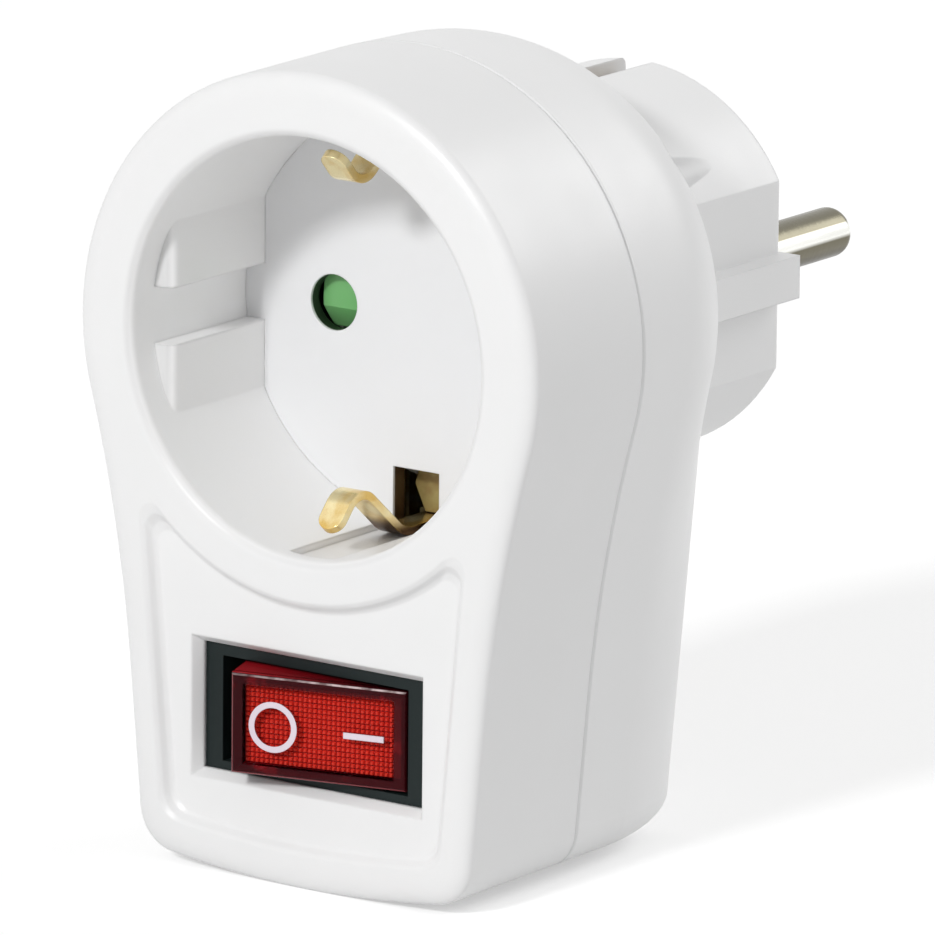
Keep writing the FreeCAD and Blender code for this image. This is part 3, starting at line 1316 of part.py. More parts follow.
def lever_contact(pole):
    """The silver rivet at a lever's end."""
    face = rod(CONTACT_R, -CONTACT_X, 0, 0, CONTACT_THICKNESS)
    shank = rod(CONTACT_R / 2, -CONTACT_X, 0, -LEVER_THICKNESS - CONTACT_THICKNESS / 2, 0)
    head = rod(CONTACT_R * 0.8, -CONTACT_X, 0, -LEVER_THICKNESS - CONTACT_THICKNESS / 2, -LEVER_THICKNESS)
    return levered(joined(face, shank, head), pole)


def main():
    os.makedirs("parts", exist_ok=True)
    save("front_housing", front_housing())
    save("rear_housing", rear_housing())
    save("housing_screws", housing_screws())
    save("socket_base", socket_base())
    save("shutter_rotor", shutter_rotor())
    save("shutter_pivot", shutter_pivot())
    save("shutter_spring", shutter_spring())
    save("contact_carrier", contact_carrier())
    save("carrier_screws", carrier_screws())
    save("socket_earth_bow", socket_earth_bow())
    save("plug_earth_bow", plug_earth_bow())
    save("earth_rivet", earth_rivet())
    save("pin_holder", pin_holder())
    save("holder_screws", holder_screws())
    for name, side in (("left", -1), ("right", 1)):
        save(f"{name}_socket_contact", socket_contact(side))
        save(f"{name}_plug_pin", plug_pin(side))
        save(f"{name}_pin_strip", pin_strip(side))
    save("left_socket_strip", left_socket_strip())
    save("right_socket_strip", right_socket_strip())
    save("switch_frame", switch_frame())
    save("switch_base", switch_base())
    save("fixed_contacts", fixed_contacts())
    for name, pole in (("upper", 1), ("lower", -1)):
        save(f"{name}_pivot_terminal", pivot_terminal(pole))
        save(f"{name}_load_terminal", load_terminal(pole))
        save(f"{name}_plunger", plunger(pole))
        save(f"{name}_plunger_spring", plunger_spring(pole))
        save(f"{name}_contact_lever", contact_lever(pole))
        save(f"{name}_lever_contact", lever_contact(pole))
    save("rocker_lens", rocker_lens())
    save("rocker_marks", rocker_marks())
    save("rocker_diffuser", rocker_diffuser())
    save("rocker_carrier", rocker_carrier())
    save("neon_lamp", neon_lamp())
    save("lamp_resistor", lamp_resistor())


main()
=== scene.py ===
"""Looks of a switched plug adapter: its finishes, its fine detail, and a plain studio around it."""

import logging
import math
from dataclasses import dataclass
from enum import Enum

import bmesh
import bpy
from mathutils import Matrix, Vector


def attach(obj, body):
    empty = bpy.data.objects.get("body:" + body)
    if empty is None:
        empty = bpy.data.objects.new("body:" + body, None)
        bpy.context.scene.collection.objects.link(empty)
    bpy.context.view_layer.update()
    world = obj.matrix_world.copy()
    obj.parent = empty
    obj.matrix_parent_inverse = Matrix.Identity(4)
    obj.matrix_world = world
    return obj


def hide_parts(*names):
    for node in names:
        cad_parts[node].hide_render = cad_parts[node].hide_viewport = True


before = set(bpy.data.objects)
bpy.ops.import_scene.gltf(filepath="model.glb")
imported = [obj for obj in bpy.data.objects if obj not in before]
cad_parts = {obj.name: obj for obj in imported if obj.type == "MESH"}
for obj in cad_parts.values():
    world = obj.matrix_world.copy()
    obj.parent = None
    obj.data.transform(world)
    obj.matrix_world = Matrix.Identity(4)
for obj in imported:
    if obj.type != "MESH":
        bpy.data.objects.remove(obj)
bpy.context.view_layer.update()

logging.basicConfig(level=logging.INFO, format="%(message)s")
log = logging.getLogger("adapter")

MM = 0.001
Colour = tuple[float, float, float]
Span = tuple[float, float]
Socket = bpy.types.NodeSocket

# Where the socket's axis and the front face lie, in millimetres of the CAD frame.
AXIS_HEIGHT = 50.7
FRONT_Y = -18.05

# The rocker's pivot, in millimetres from the socket's axis and the front face, and how many
# degrees its face is tilted at rest.
ROCKER_PIVOT = (0.0, 8.0, -35.6)
ROCKER_TILT = 13.0

# Directions that finishes tell faces by.
FORWARD = Vector((0.0, -1.0, 0.0))
UP = Vector((0.0, 0.0, 1.0))

# The range of a mask, which is 0 where it leaves a place alone and 1 where it takes it whole.
WHOLE = (0.0, 1.0)

# How high a finish's fine bump rises, and how close two corners lie that are merged, in metres.
BUMP_HEIGHT = 0.2 * MM
MERGE_WITHIN = 1e-7


def place(x: float, y: float, z: float) -> Vector:
    """A point given in millimetres from the socket's axis and the front face.

    Args:
        x: distance to the right of the axis.
        y: distance behind the front face.
        z: height above the axis.

    Returns:
        The point in metres, in the CAD frame.
    """
    return Vector((x, y + FRONT_Y, z + AXIS_HEIGHT)) * MM


def new_object(name: str, data: bpy.types.ID) -> bpy.types.Object:
    """Make an object from its data and put it in the scene.

    Args:
        name: the object's name.
        data: its mesh, lamp or camera.

    Returns:
        The object.
    """
    made = bpy.data.objects.new(name, data)
    bpy.context.scene.collection.objects.link(made)
    return made


class Grain(Enum):
    """The fine relief that a finish carries."""

    PEEL = "peel"
    SATIN = "satin"
    ROLLED = "rolled"
    TURNED = "turned"


class NodeKit:
    """A node tree and the few steps that build it."""

    def __init__(self, tree: bpy.types.NodeTree) -> None:
        """Take the tree that is built."""
        self.tree = tree

    def feed(self, target: Socket, value: object) -> None:
        """Link or set an input, whichever the value calls for.

        Args:
            target: the input.
            value: a socket to link, several to join, or a value to set.
        """
        if isinstance(value, Socket):
            self.tree.links.new(value, target)
        elif isinstance(value, list):
            for one in value:
                self.tree.links.new(one, target)
        else:
            target.default_value = value

    def add(
        self, kind: str, options: dict[str, object] | None = None, **inputs: object
    ) -> bpy.types.Node:
        """Add a node.

        Args:
            kind: its type.
            options: its settings that aren't sockets.
            inputs: its inputs; an underscore stands for a space in a socket's name.

        Returns:
            The node.
        """
        node = self.tree.nodes.new(kind)
        for key, value in (options or {}).items():
            setattr(node, key, value)
        for key, value in inputs.items():
            self.feed(node.inputs[key.replace("_", " ")], value)
        return node

    def math(self, operation: str, *values: Socket | float) -> Socket:
        """Work out a value from one or more others.

        Args:
            operation: the kind of sum.
            values: what it takes, in order.

        Returns:
            The result's socket.
        """
        node = self.add("ShaderNodeMath", {"operation": operation})
        for socket, value in zip(node.inputs, values):
            self.feed(socket, value)
        return node.outputs["Value"]


class NodeSheet(NodeKit):
    """A material's node tree with the steps that finishes use."""

    def __init__(self, name: str) -> None:
        """Make an empty material.

        Args:
            name: the material's name.
        """
        self.material = bpy.data.materials.new(name)
        self.material.use_nodes = True
        super().__init__(self.material.node_tree)
        self.tree.nodes.clear()
        self.shader = self.add("ShaderNodeBsdfPrincipled")
        self.add("ShaderNodeOutputMaterial", Surface=self.shader.outputs["BSDF"])
        self.places = self.add("ShaderNodeTexCoord")
        self.coordinates = self.places.outputs["Object"]

    def set(self, **values: object) -> None:
        """Set or link the shader's own sockets; an underscore stands for a space in a name."""
        for key, value in values.items():
            self.feed(self.shader.inputs[key.replace("_", " ")], value)

    def stretched(self, scale: tuple[float, float, float]) -> Socket:
        """Object coordinates stretched by a scale on each axis."""
        node = self.add("ShaderNodeMapping", Vector=self.coordinates, Scale=scale)
        return node.outputs["Vector"]

    def noise(
        self,
        scale: float,
        detail: float = 2.0,
        vector: Socket | None = None,
        roughness: float = 0.5,
    ) -> Socket:
        """A noise value between 0 and 1.

        Args:
            scale: the noise's scale per unit of its coordinates.
            detail: its number of octaves.
            vector: the coordinates it reads; the object's own by default.
            roughness: how strong the finer octaves are.

        Returns:
            The value socket.
        """
        node = self.add(
            "ShaderNodeTexNoise",
            Scale=scale,
            Detail=detail,
            Roughness=roughness,
            Vector=vector or self.coordinates,
        )
        return node.outputs["Fac"]

    def mapped(self, value: Socket, source: Span, target: Span = WHOLE) -> Socket:
        """Map a value from one range to another, held at the ends.

        Args:
            value: the value.
            source: the range that it is read in.
            target: the range that it is written in; 0 to 1 by default.

        Returns:
            The mapped value.
        """
        node = self.add("ShaderNodeMapRange", Value=value)
        for end, first, second in zip(("Min", "Max"), source, target):
            self.feed(node.inputs[f"From {end}"], first)
            self.feed(node.inputs[f"To {end}"], second)
        return node.outputs["Result"]

    def tinted(self, value: Socket, dark: Colour | Socket, light: Colour | Socket) -> Socket:
        """Mix two colours by a value.

        Args:
            value: 0 gives the first colour and 1 the second.
            dark: the first colour.
            light: the second colour.

        Returns:
            The colour socket.
        """
        node = self.add("ShaderNodeMix", {"data_type": "RGBA"}, Factor=value)
        sockets = [s for s in node.inputs if s.type == "RGBA"]
        for socket, colour in zip(sockets, (dark, light)):
            self.feed(socket, colour if isinstance(colour, Socket) else (*colour, 1.0))
        return [s for s in node.outputs if s.type == "RGBA"][0]

    def open_air(self, distance: float) -> Socket:
        """How open a place is: 1 in the open and near 0 where other surfaces are that close."""
        node = self.add("ShaderNodeAmbientOcclusion", {"samples": 8}, Distance=distance)
        return node.outputs["AO"]

    def axis(self, vector: Socket, name: str) -> Socket:
        """One axis of a vector: X, Y or Z."""
        return self.add("ShaderNodeSeparateXYZ", Vector=vector).outputs[name]

    def facing(self, direction: Vector) -> Socket:
        """How far a place's surface looks towards a direction: 1 when it faces it squarely.

        Args:
            direction: the direction, in the CAD frame.

        Returns:
            The value socket.
        """
        node = self.add("ShaderNodeVectorMath", {"operation": "DOT_PRODUCT"})
        self.feed(node.inputs[0], self.places.outputs["Normal"])
        self.feed(node.inputs[1], direction.normalized())
        return node.outputs["Value"]

    def local(self, origin: Vector, turn: tuple[float, float, float]) -> Socket:
        """Object coordinates in millimetres about another origin and along other axes.

        Args:
            origin: the new origin, in metres.
            turn: the new axes' turn about X, Y and Z, in degrees.

        Returns:
            The vector socket.
        """
        node = self.add(
            "ShaderNodeMapping",
            {"vector_type": "TEXTURE"},
            Vector=self.coordinates,
            Location=origin,
            Rotation=tuple(math.radians(angle) for angle in turn),
            Scale=(MM, MM, MM),
        )
        return node.outputs["Vector"]

    def from_axis(self) -> Socket:
        """The square of a place's distance from the socket's axis, in square metres.

        Returns:
            The value socket.
        """
        height = self.math("SUBTRACT", self.axis(self.coordinates, "Z"), AXIS_HEIGHT * MM)
        offsets = (self.axis(self.coordinates, "X"), height)
        return self.math("ADD", *(self.math("MULTIPLY", offset, offset) for offset in offsets))

    def relief(self, height: Socket, strength: float, edge: float) -> None:
        """Give the shader a fine bump over softened edges.

        Args:
            height: the bump's height.
            strength: how much of it shows.
            edge: the radius of the softened edges, in metres.
        """
        bevel = self.add("ShaderNodeBevel", {"samples": 6}, Radius=edge)
        bump = self.add(
            "ShaderNodeBump",
            Strength=strength,
            Distance=BUMP_HEIGHT,
            Height=height,
            Normal=bevel.outputs["Normal"],
        )
        self.set(Normal=bump.outputs["Normal"])


@dataclass(frozen=True)
class Finish:
    """A surface's colour, gloss and fine relief."""

    name: str
    colour: Colour
    shade: Colour
    roughness: Span
    grain: Grain = Grain.PEEL
    grain_scale: float = 900.0
    grain_strength: float = 0.05
    metallic: float = 0.0
    specular: float = 0.5
    subsurface: float = 0.0
    alpha: float = 1.0
    edge: float = 0.12 * MM
    depth: float = 1.2 * MM
    depths: Colour = (1.0, 0.95, 0.9)
    cloud_scale: float = 55.0
    gloss_scale: float = 160.0
    middle: Span = (0.3, 0.7)

    def material(self) -> bpy.types.Material:
        """The Blender material of this finish, made once.

        Returns:
            The material.
        """
        made = bpy.data.materials.get(self.name)
        if made:
            return made
        sheet = NodeSheet(self.name)
        gloss = sheet.mapped(sheet.noise(self.gloss_scale, 4.0), self.middle, self.roughness)
        sheet.set(
            Base_Color=self.tone(sheet),
            Roughness=gloss,
            Metallic=self.metallic,
            Specular_IOR_Level=self.specular,
            Alpha=self.alpha,
        )
        if self.subsurface:
            sheet.set(
                Subsurface_Weight=self.subsurface,
                Subsurface_Scale=self.depth,
                Subsurface_Radius=self.depths,
            )
        sheet.relief(self.height(sheet), self.grain_strength, self.edge)
        self.tune(sheet)
        return sheet.material

    def tune(self, sheet: NodeSheet) -> None:
        """Room for what only one kind of finish sets; a plain one sets nothing more."""

    def tone(self, sheet: NodeSheet) -> Socket:
        """The surface's colour, with its slow change from place to place."""
        cloud = sheet.mapped(sheet.noise(self.cloud_scale, 3.0), self.middle)
        return sheet.tinted(cloud, self.shade, self.colour)

    def height(self, sheet: NodeSheet) -> Socket:
        """The height that the fine relief follows.

        Args:
            sheet: the tree it is built in.

        Returns:
            The height's value.
        """
        if self.grain is Grain.ROLLED:
            return sheet.noise(self.grain_scale, 3.0, sheet.stretched((1.0, 0.06, 0.3)), 0.6)
        if self.grain is Grain.TURNED:
            return sheet.noise(self.grain_scale, 2.0, sheet.stretched((0.04, 1.0, 0.04)), 0.6)
        if self.grain is Grain.SATIN:
            return sheet.noise(self.grain_scale, 6.0, None, 0.7)
        return sheet.noise(self.grain_scale, 2.0)


@dataclass(frozen=True)
class CreviceShadedMetal(Finish):
    """A bare metal with painted shade that darkens it in its corners and crevices, where other
    surfaces lie close.
    """

    # Painted shade: the dark brown that corners and crevices take where other surfaces lie close.
    crevice_shade: Colour = (0.1, 0.045, 0.012)
    reach: float = 2.5 * MM
    openness: Span = (0.5, 0.96)
    streak: Colour = (0.78, 0.52, 0.15)
    streak_scale: float = 420.0
    streak_span: Span = (0.38, 0.6)

    def tone(self, sheet: NodeSheet) -> Socket:
        """The metal's colour, with painted shade where little air reaches.

        Args:
            sheet: the tree it is built in.

        Returns:
            The colour socket.
        """
        # Painted shade: the colour turns to the dark shade where other surfaces lie within reach.
        clear = sheet.mapped(sheet.open_air(self.reach), self.openness)
        grain = sheet.noise(self.streak_scale, 3.0, sheet.stretched((1.0, 0.45, 1.0)))
        streaks = sheet.mapped(grain, self.streak_span)
        metal = sheet.tinted(streaks, self.streak, super().tone(sheet))
        return sheet.tinted(clear, self.crevice_shade, metal)


@dataclass(frozen=True)
class Moulded(Finish):
    """A pale moulded plastic with painted light in the recess and painted shade on the pads'
    forward faces there; its seam looks dark.
    """

    joint: Colour = (0.3, 0.3, 0.3)
    # Painted light: the lighter colour that the recess takes, standing in for light that reaches
    # into it.
    recess: Colour = (0.96, 0.96, 0.96)
    # Painted shade on the pads' faces that look forward in the recess.
    pad_front_shade: Colour = (0.75, 0.75, 0.75)
    front_span: Span = (0.6, 0.9)
    reach: float = 0.5 * MM
    openness: Span = (0.25, 0.62)
    seam_y: float = -0.65 * MM
    seam_half: float = 0.7 * MM
    rim: Span = (19.6 * MM, 20.4 * MM)

    def in_recess(self, sheet: NodeSheet) -> Socket:
        """Whether a place lies in the recess in front of the seam.

        Args:
            sheet: the tree it is built in.

        Returns:
            1 in the recess, falling to 0 over its rounded rim.
        """
        near = sheet.mapped(sheet.from_axis(), (self.rim[1] ** 2, self.rim[0] ** 2))
        depth = sheet.axis(sheet.coordinates, "Y")
        front = sheet.math("LESS_THAN", depth, self.seam_y + self.seam_half)
        return sheet.math("MULTIPLY", near, front)

    def at_seam(self, sheet: NodeSheet) -> Socket:
        """Whether a place lies near the seam between the two mouldings, outside the recess.

        Args:
            sheet: the tree it is built in.

        Returns:
            1 near the seam and 0 elsewhere.
        """
        off = sheet.math("SUBTRACT", sheet.axis(sheet.coordinates, "Y"), self.seam_y)
        near = sheet.math("LESS_THAN", sheet.math("ABSOLUTE", off), self.seam_half)
        outside = sheet.mapped(self.in_recess(sheet), (1.0, 0.0))
        return sheet.math("MULTIPLY", near, outside)

    def tone(self, sheet: NodeSheet) -> Socket:
        """The plastic's colour: painted light in the recess, painted shade on the pads' forward
        faces, dark in the seam.

        Args:
            sheet: the tree it is built in.

        Returns:
            The colour socket.
        """
        closed = sheet.mapped(sheet.open_air(self.reach), self.openness, (1.0, 0.0))
        # Painted shade on forward-facing faces in the recess, painted light on the rest of the
        # recess.
        fronts = sheet.mapped(sheet.facing(FORWARD), self.front_span)
        recess = sheet.tinted(fronts, self.recess, self.pad_front_shade)
        tone = sheet.tinted(self.in_recess(sheet), super().tone(sheet), recess)
        seam = sheet.math("MULTIPLY", closed, self.at_seam(sheet))
        return sheet.tinted(seam, tone, self.joint)


@dataclass(frozen=True)
class Pierced(Finish):
    """The recess floor's plastic, with painted shade on the walls of its pin holes and its earth
    slots.
    """

    # Painted shade: near-black walls in the pin holes.
    hole_shade: Colour = (0.002, 0.003, 0.002)
    # Painted shade with a painted brass reflection: brown walls in the earth slots.
    slot: Colour = (0.07, 0.034, 0.012)
    face_y: float = -0.05 * MM
    lip: float = 0.2 * MM
    slots_from: float = 7.0 * MM

    def tone(self, sheet: NodeSheet) -> Socket:
        """The plastic's colour, with painted shade on the walls behind the floor's face.

        Args:
            sheet: the tree it is built in.

        Returns:
            The colour socket.
        """
        behind = (self.face_y + self.lip, self.face_y + self.lip * 1.6)
        inside = sheet.mapped(sheet.axis(sheet.coordinates, "Y"), behind)
        height = sheet.math("SUBTRACT", sheet.axis(sheet.coordinates, "Z"), AXIS_HEIGHT * MM)
        far = sheet.math("GREATER_THAN", sheet.math("ABSOLUTE", height), self.slots_from)
        # Painted shade on the walls behind the face: near-black in the pin holes, brown in the
        # earth slots.
        wall = sheet.tinted(far, self.hole_shade, self.slot)
        return sheet.tinted(inside, super().tone(sheet), wall)


@dataclass(frozen=True)
class LensPlastic(Finish):
    """The rocker's clear red plastic: thin over the diffuser, dense towards its walls.

    Its sizes are millimetres in the rocker's frame: X along it, Y up and Z out of its face.
    """

    window: Span = (7.5, 3.75)
    window_blur: Span = (-0.04, 0.06)
    face: float = 7.6
    wall: float = 0.9
    clear: float = 0.06
    dense: float = 0.82
    # Painted light: the bright red that the top faces take towards the left; the random patches use
    # it too.
    top_light: Colour = (0.42, 0.012, 0.02)
    top_light_across: Span = (5.0, -7.5)
    top_span: Span = (0.9, 0.98)
    patch_scale: float = 0.33
    patch_span: Span = (0.56, 0.68)
    patch_part: float = 0.45
    # Painted highlight: the pale line on the upper front edge.
    line: Colour = (0.82, 0.68, 0.68)
    # Painted highlights: the faint red lines on the other edges.
    faint: Colour = (0.3, 0.07, 0.08)
    highlight_span: Span = (0.965, 0.985)
    break_scale: float = 1.1
    break_span: Span = (0.36, 0.56)
    break_light: Span = (0.25, 1.0)
    rise_across: Span = (-8.0, 1.0)
    rise_light: Span = (0.3, 1.0)
    face_blur: float = 0.1

    def spot(self, sheet: NodeSheet) -> Socket:
        """A place in the rocker's frame."""
        return sheet.local(place(*ROCKER_PIVOT), (90.0, 0.0, ROCKER_TILT))

    def border(self, sheet: NodeSheet) -> Socket:
        """Whether a place lies outside the window that shows the diffuser.

        Args:
            sheet: the tree it is built in.

        Returns:
            1 outside the window, 0 in it and on the inner face.
        """
        spot = self.spot(sheet)
        past = [
            sheet.math("SUBTRACT", sheet.math("ABSOLUTE", sheet.axis(spot, name)), half)
            for name, half in zip("XY", self.window)
        ]
        outside = sheet.mapped(sheet.math("MAXIMUM", *past), self.window_blur)
        off = sheet.math("SUBTRACT", sheet.axis(spot, "Z"), self.face - self.wall)
        elsewhere = sheet.math("GREATER_THAN", sheet.math("ABSOLUTE", off), self.face_blur)
        return sheet.math("MULTIPLY", outside, elsewhere)

    def painted_highlights(self, sheet: NodeSheet) -> tuple[Socket, Socket]:
        """The painted highlight along the upper front edge and the faint painted highlights along
        the others.

        Args:
            sheet: the tree it is built in.

        Returns:
            The two masks.
        """
        turn = math.radians(ROCKER_TILT)
        front = Vector((math.sin(turn), -math.cos(turn), 0.0))
        left = Vector((-math.cos(turn), -math.sin(turn), 0.0))
        spot = self.spot(sheet)
        cloud = sheet.noise(self.break_scale, 3.0, spot)
        broken = sheet.mapped(cloud, self.break_span, self.break_light)
        rising = sheet.mapped(sheet.axis(spot, "X"), self.rise_across, self.rise_light)
        bright = sheet.mapped(sheet.facing(front + UP), self.highlight_span)
        bright = sheet.math("MULTIPLY", bright, sheet.math("MULTIPLY", broken, rising))
        others = sheet.math("MAXIMUM", sheet.facing(front + left), sheet.facing(front - UP))
        return bright, sheet.mapped(others, self.highlight_span)

    def tone(self, sheet: NodeSheet) -> Socket:
        """The plastic's colour: dark red with random brighter patches, painted light on its top
        faces towards the left, and painted highlights along its edges.

        Args:
            sheet: the tree it is built in.

        Returns:
            The colour socket.
        """
        spot = self.spot(sheet)
        patches = sheet.mapped(sheet.noise(self.patch_scale, 2.0, spot), self.patch_span)
        top = sheet.mapped(sheet.facing(UP), self.top_span)
        leftward = sheet.mapped(sheet.axis(spot, "X"), self.top_light_across)
        lit_top = sheet.math("MULTIPLY", top, leftward)
        # Painted light on the top faces, and random brighter patches in the same red.
        lit = sheet.math("MAXIMUM", lit_top, sheet.math("MULTIPLY", patches, self.patch_part))
        tone = sheet.tinted(lit, super().tone(sheet), self.top_light)
        line, faint = self.painted_highlights(sheet)
        # Painted highlights laid over the edges.
        return sheet.tinted(line, sheet.tinted(faint, tone, self.faint), self.line)

    def tune(self, sheet: NodeSheet) -> None:
        """Let light through over the diffuser only."""
        sheet.set(Alpha=sheet.mapped(self.border(sheet), WHOLE, (self.clear, self.dense)))


@dataclass(frozen=True)
class RoundPlate(Finish):
    """A plated round bar: a painted highlight band along its side, and painted shade above and
    below.
    """

    # Painted shade: the colours of the faces above and below the painted highlight band, darkest
    # underneath.
    dark: Colour = (0.17, 0.157, 0.113)
    underside_shade: Colour = (0.07, 0.062, 0.045)
    band: float = 0.26
    band_half: float = 0.15
    under: Span = (-0.95, -0.35)

    def tone(self, sheet: NodeSheet) -> Socket:
        """The plating's colour, with its painted highlight band and painted shade set by the way
        that the surface faces.

        Args:
            sheet: the tree it is built in.

        Returns:
            The colour socket.
        """
        up = sheet.facing(UP)
        off = sheet.math("ABSOLUTE", sheet.math("SUBTRACT", up, self.band))
        # Painted highlight band where the surface faces a little upwards; painted shade elsewhere.
        lit = sheet.mapped(off, (self.band_half * 2.0, self.band_half))
        shaded = sheet.tinted(sheet.mapped(up, self.under), self.underside_shade, self.dark)
        return sheet.tinted(lit, shaded, super().tone(sheet))


@dataclass(frozen=True)
class Banded(Finish):
    """An enamel with coloured bands along X; sizes are metres."""

    bands: tuple[Colour, ...] = ()
    start: float = 0.0
    pitch: float = 0.8 * MM
    width: float = 0.35 * MM

    def tone(self, sheet: NodeSheet) -> Socket:
        """The enamel's colour, with its bands laid over it.

        Args:
            sheet: the tree it is built in.

        Returns:
            The colour socket.
        """
        tone = super().tone(sheet)
        x = sheet.axis(sheet.coordinates, "X")
        for index, colour in enumerate(self.bands):
            near = sheet.math("COMPARE", x, self.start + index * self.pitch, self.width / 2)
            tone = sheet.tinted(near, tone, colour)
        return tone


WHITE_FRONT = Moulded(
    "white_case_plastic", (0.885, 0.885, 0.885), (0.87, 0.87, 0.87), (0.3, 0.4),
    subsurface=0.06, edge=0.42 * MM,
)
WHITE_REAR = Moulded(
    "white_rear_plastic", (0.905, 0.905, 0.905), (0.89, 0.89, 0.89), (0.32, 0.42),
    subsurface=0.06, edge=0.25 * MM,
)
WHITE_FLOOR = Pierced(
    "white_floor_plastic", (0.825, 0.829, 0.84), (0.81, 0.814, 0.825), (0.3, 0.4),
    subsurface=0.06, edge=0.2 * MM,
)
INNER_PLASTIC = Finish(
    "inner_off_white_plastic", (0.8, 0.79, 0.75), (0.74, 0.73, 0.69), (0.45, 0.6)
)
SWITCH_BLACK = Finish(
    "switch_black_plastic", (0.011, 0.018, 0.018), (0.007, 0.013, 0.013), (0.38, 0.5),
    Grain.SATIN, 2200.0, 0.12, specular=0.2,
)
LENS_RED = LensPlastic(
    "lens_clear_red", (0.06, 0.003, 0.006), (0.035, 0.002, 0.004), (0.08, 0.14),
    grain_strength=0.02, specular=0.1,
)
CELL_RED = Finish(
    "diffuser_cell_red", (0.93, 0.06, 0.035), (0.86, 0.045, 0.028), (0.3, 0.45), specular=0.1
)
# Painted shade: the darker red that the diffuser's low faces take between the cells.
GROOVE_SHADE_RED = Finish(
    "diffuser_groove_shade_red", (0.34, 0.012, 0.012), (0.26, 0.008, 0.01), (0.4, 0.55), specular=0.1
)
MARK_INK = Finish(
    "mark_ink", (0.8, 0.71, 0.78), (0.76, 0.66, 0.74), (0.35, 0.5), Grain.SATIN, 4000.0, 0.05
)
SHUTTER_GREEN = Finish(
    "shutter_green_plastic", (0.37, 0.68, 0.34), (0.17, 0.48, 0.16), (0.12, 0.25), subsurface=0.3
)
PLUNGER_PLASTIC = Finish("plunger_plastic", (0.72, 0.71, 0.66), (0.66, 0.65, 0.6), (0.35, 0.5))
# Each brass below darkens with painted shade where other surfaces lie close; the tabs' dull brass
# takes it over a wider range.
BRASS = CreviceShadedMetal(
    "stamped_brass", (1.0, 0.91, 0.6), (0.93, 0.76, 0.38), (0.16, 0.28),
    Grain.ROLLED, 1500.0, 0.12, metallic=0.88,
)
DULL_BRASS = CreviceShadedMetal(
    "dull_brass", (0.5, 0.42, 0.17), (0.36, 0.28, 0.1), (0.3, 0.45),
    Grain.ROLLED, 1500.0, 0.1, metallic=0.35, openness=(0.05, 0.45), streak=(0.3, 0.2, 0.07),
)
OLD_BRASS = CreviceShadedMetal(
    "old_brass", (0.5, 0.44, 0.32), (0.4, 0.34, 0.23), (0.25, 0.4),
    Grain.ROLLED, 1500.0, 0.1, metallic=0.9, streak=(0.34, 0.27, 0.17),
)
SILVER = Finish(
    "contact_silver", (0.86, 0.85, 0.82), (0.74, 0.73, 0.7), (0.2, 0.35),
    Grain.SATIN, 2500.0, 0.1, metallic=1.0,
)
NICKEL = RoundPlate(
    "nickel_plate", (0.97, 0.97, 0.93), (0.88, 0.88, 0.83), (0.2, 0.3),
    Grain.TURNED, 2600.0, 0.08, metallic=1.0,
)
ZINC = Finish(
    "zinc_steel", (0.6, 0.61, 0.63), (0.48, 0.5, 0.53), (0.25, 0.42),
    Grain.SATIN, 1800.0, 0.1, metallic=1.0,
)
SPRING_WIRE = Finish(
    "spring_wire", (0.52, 0.52, 0.53), (0.4, 0.4, 0.42), (0.2, 0.35),
    Grain.SATIN, 3000.0, 0.08, metallic=1.0,
)
LAMP_GLASS = Finish("lamp_glass", (0.98, 0.82, 0.68), (0.95, 0.7, 0.5), (0.04, 0.1), alpha=0.5)
RESISTOR = Banded(
    "resistor_enamel", (0.62, 0.5, 0.32), (0.52, 0.4, 0.25), (0.3, 0.5),
    bands=((0.16, 0.05, 0.02), (0.02, 0.02, 0.02), (0.75, 0.3, 0.02), (0.7, 0.55, 0.2)),
    start=-3.5 * MM,
)


def dress(piece: bpy.types.Object, finish: Finish) -> None:
    """Give a piece one finish all over.

    Args:
        piece: the object.
        finish: its finish.
    """
    material = finish.material()
    if not piece.material_slots:
        piece.data.materials.append(material)
    for slot in piece.material_slots:
        slot.material = material


def dress_nodes(finishes: dict[Finish, str]) -> None:
    """Give CAD nodes their finishes and report each one.

    Args:
        finishes: the nodes' names that each finish covers, with spaces between them.
    """
    for finish, names in finishes.items():
        for name in names.split():
            dress(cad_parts[name], finish)
            log.info("%s: %s", name, finish.name)


